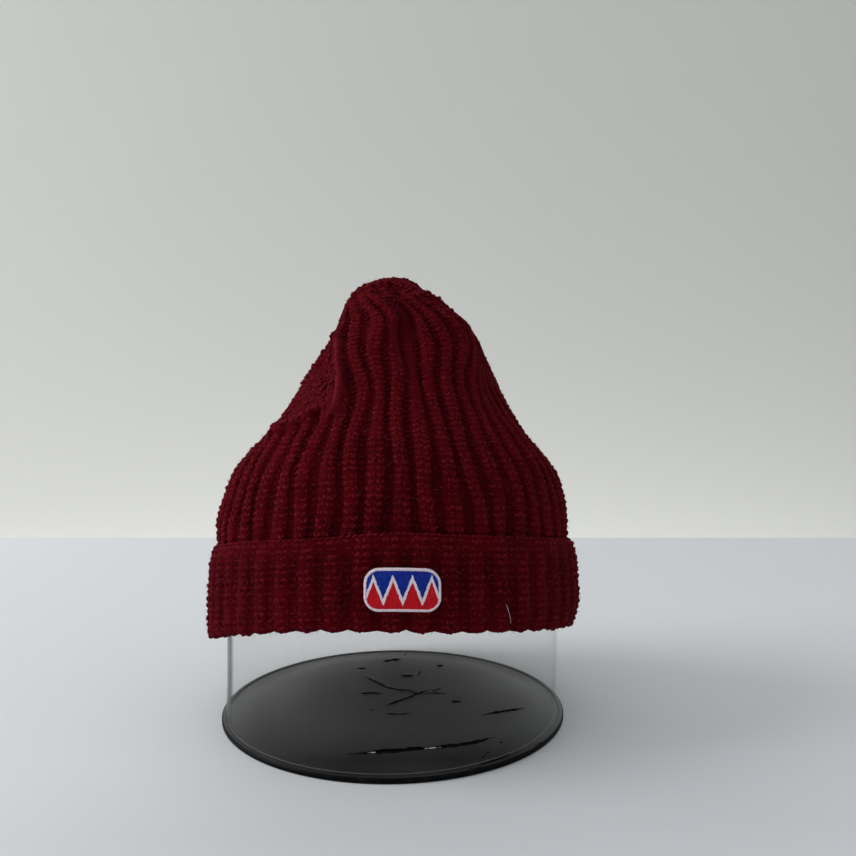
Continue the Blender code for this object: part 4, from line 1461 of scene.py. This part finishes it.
def make_film(name, creases, finish, rise):
    """Creases of the film on the base: flat ridges that taper to both ends and stand out by their rise."""
    lines, radii = [], []
    for crease in creases:
        chosen = np.array(crease.points) / 1000
        count = (len(chosen) - 1) * CREASE_STEPS + 1
        line = np.array([on_rows(chosen, k / CREASE_STEPS) for k in range(count)])
        share = np.linspace(0, 1, count)
        taper = np.sin(math.pi * np.clip(share, *CREASE_ENDS)) ** CREASE_TAPER
        swell = taper * (CREASE_EVEN + CREASE_SWELL * np.sin(CREASE_SWELLS * share))
        size = crease.width / 2000
        wrinkle = np.random.default_rng(count + int(10 * crease.width))
        line += wrinkle.uniform(-CREASE_STRAY, CREASE_STRAY, line.shape) * size
        lines.append(np.column_stack([line, np.zeros(count)]))
        radii.append(size * swell * wrinkle.uniform(*CREASE_UNEVEN, count))
    film = tube_object(name, lines, radii, CREASE_SIDES, finish)
    for corner in film.data.vertices:
        corner.co.z = BASE_THICKNESS - DISC_SINK + rise + corner.co.z * CREASE_FLATNESS
    keep(film, ["stand_base"])


def make_fuzz(finish):
    """Loose fibres over the outside of the crown and the cuff."""
    places = np.arange(RIBS * 2) / 2.0
    group = fuzz_group()
    fibre = fibre_shape()
    rings = []
    for level in np.linspace(CROWN_FIBRES_FROM, LAST_LEVEL, CROWN_FIBRE_ROWS):
        points, outward = crown_crests(places, level)
        turns = np.degrees(np.arctan2(points[:, 0], -points[:, 1]))
        points[:, 2] = np.maximum(points[:, 2], hem_height(turns) + cuff_height(turns) + FIBRE_START)
        rings.append(points - outward * FIBRE_ROOT)
    crown = new_object("field", np.concatenate(rings), band_faces(len(rings), len(places)))
    turns = places * PITCH_TURN + CUFF_RIB_TURN
    crests = cuff_crests(turns)
    down = np.linspace(STITCHES_TO, CUFF_FIBRES_TO, CUFF_FIBRE_ROWS)
    rings = [cuff_points(turns, crests, place, FIBRE_ROOT)[0] for place in down]
    cuff = new_object("field", np.concatenate(rings), band_faces(len(rings), len(places)))
    for name, field, node, seed in (("crown_fuzz", crown, "crown", 3), ("cuff_fuzz", cuff, "cuff", 4)):
        values = {"Fibre": fibre, "Material": finish, "Per Square Metre": FIBRES_PER_SQUARE_METRE,
                  "Shortest": FIBRE_SHORTEST, "Longest": FIBRE_LONGEST, "Lean": FIBRE_LEAN, "Seed": seed}
        keep(run_group(field, group, values, name), [node])


def make_lint():
    """The pale hair that lies on the cuff."""
    share = np.linspace(0, 1, LINT_STEPS + 1)
    turns = LINT_TURNS[0] + (LINT_TURNS[1] - LINT_TURNS[0]) * share
    heights = LINT_HEIGHTS[0] + (LINT_HEIGHTS[1] - LINT_HEIGHTS[0]) * share
    radii = CUFF_INSIDE + CUFF_BULGE + LINT_LIFT + LINT_ARCH * np.sin(math.pi * share)
    line = on_cylinder(turns, radii, heights)
    hair = tube_object("cuff_lint", [line], [np.full(len(share), LINT_RADIUS)], 4, lint_finish())
    keep(hair, ["cuff"])


def add_light(name, place, aim, width, height, power):
    """A soft light: an ellipse of the given width and height that shines at its aim."""
    lamp = bpy.data.lights.new(name, "AREA")
    lamp.shape = "ELLIPSE"
    lamp.size = width
    lamp.size_y = height
    lamp.energy = power
    thing = bpy.data.objects.new(name, lamp)
    thing.location = place
    thing.rotation_euler = (Vector(aim) - Vector(place)).to_track_quat("-Z", "Y").to_euler()
    bpy.context.scene.collection.objects.link(thing)


def make_stage():
    """A pale table that ends behind the hat before a pale wall, with soft light from the upper left."""
    table = new_object("table", TABLE_CORNERS, [(0, 1, 2, 3)],
                       stage_finish("pale table", (0.75, 0.762, 0.78), 0.6, 0.13))
    wall = new_object("wall", WALL_CORNERS, [(0, 1, 2, 3)],
                      stage_finish("pale wall", (0.630, 0.630, 0.590), 0.8))
    world = bpy.data.worlds.new("soft room")
    world.use_nodes = True
    room = NodeMaker(world.node_tree)
    directions = room.add("ShaderNodeTexCoord", output="Generated")
    toward = room.add("ShaderNodeSeparateXYZ", {}, {0: directions}, output=1)
    colour = room.mix(toward.within(0.2, -0.9), (0.93, 0.96, 1.0), (0.58, 0.60, 0.63))
    sky = world.node_tree.nodes["Background"]
    room.plug(sky.inputs["Color"], colour)
    sky.inputs["Strength"].default_value = SKY_STRENGTH
    bpy.context.scene.world = world
    bpy.context.scene.view_settings.view_transform = "Standard"
    for lamp in LAMPS:
        add_light(*lamp)


def make_camera():
    """The camera where the photograph was taken from."""
    lens = bpy.data.cameras.new("camera")
    lens.sensor_width = SENSOR
    lens.lens = SENSOR * FOCAL_SHARE
    lens.clip_start = 0.01
    camera = bpy.data.objects.new("camera", lens)
    camera.location = CAMERA_PLACE
    camera.rotation_euler = (math.radians(90 - CAMERA_DOWN), 0.0, math.radians(-CAMERA_RIGHT))
    bpy.context.scene.collection.objects.link(camera)
    bpy.context.scene.camera = camera


def main():
    """The stage and the camera, then each piece, then away with the shapes that only the trees set out."""
    make_stage()
    make_camera()
    group = stitch_group()
    knit = knit_finish()
    stitch, purl = knit_stitch(), purl_stitch()
    make_crown_wall(knit)
    make_crown_stitches(group, stitch, purl, knit)
    make_cuff_wall(knit)
    make_cuff_stitches(group, stitch, purl, knit)
    make_cuff_edge(group, knit)
    make_fuzz(fuzz_finish())
    make_patch_body(stitched_finish())
    make_patch_border(group, border_finish())
    make_tube(clear_finish())
    make_base(disc_finish(), rim_finish())
    make_film("film_creases", CREASES, film_finish(), 0.0)
    make_film("film_white_marks", PAINTED_GLINTS, painted_glint_finish(), PAINTED_GLINT_RISE)
    make_lint()
    for shape in [thing for thing in bpy.data.objects if thing.name.endswith("_shape")]:
        bpy.data.objects.remove(shape)


main()
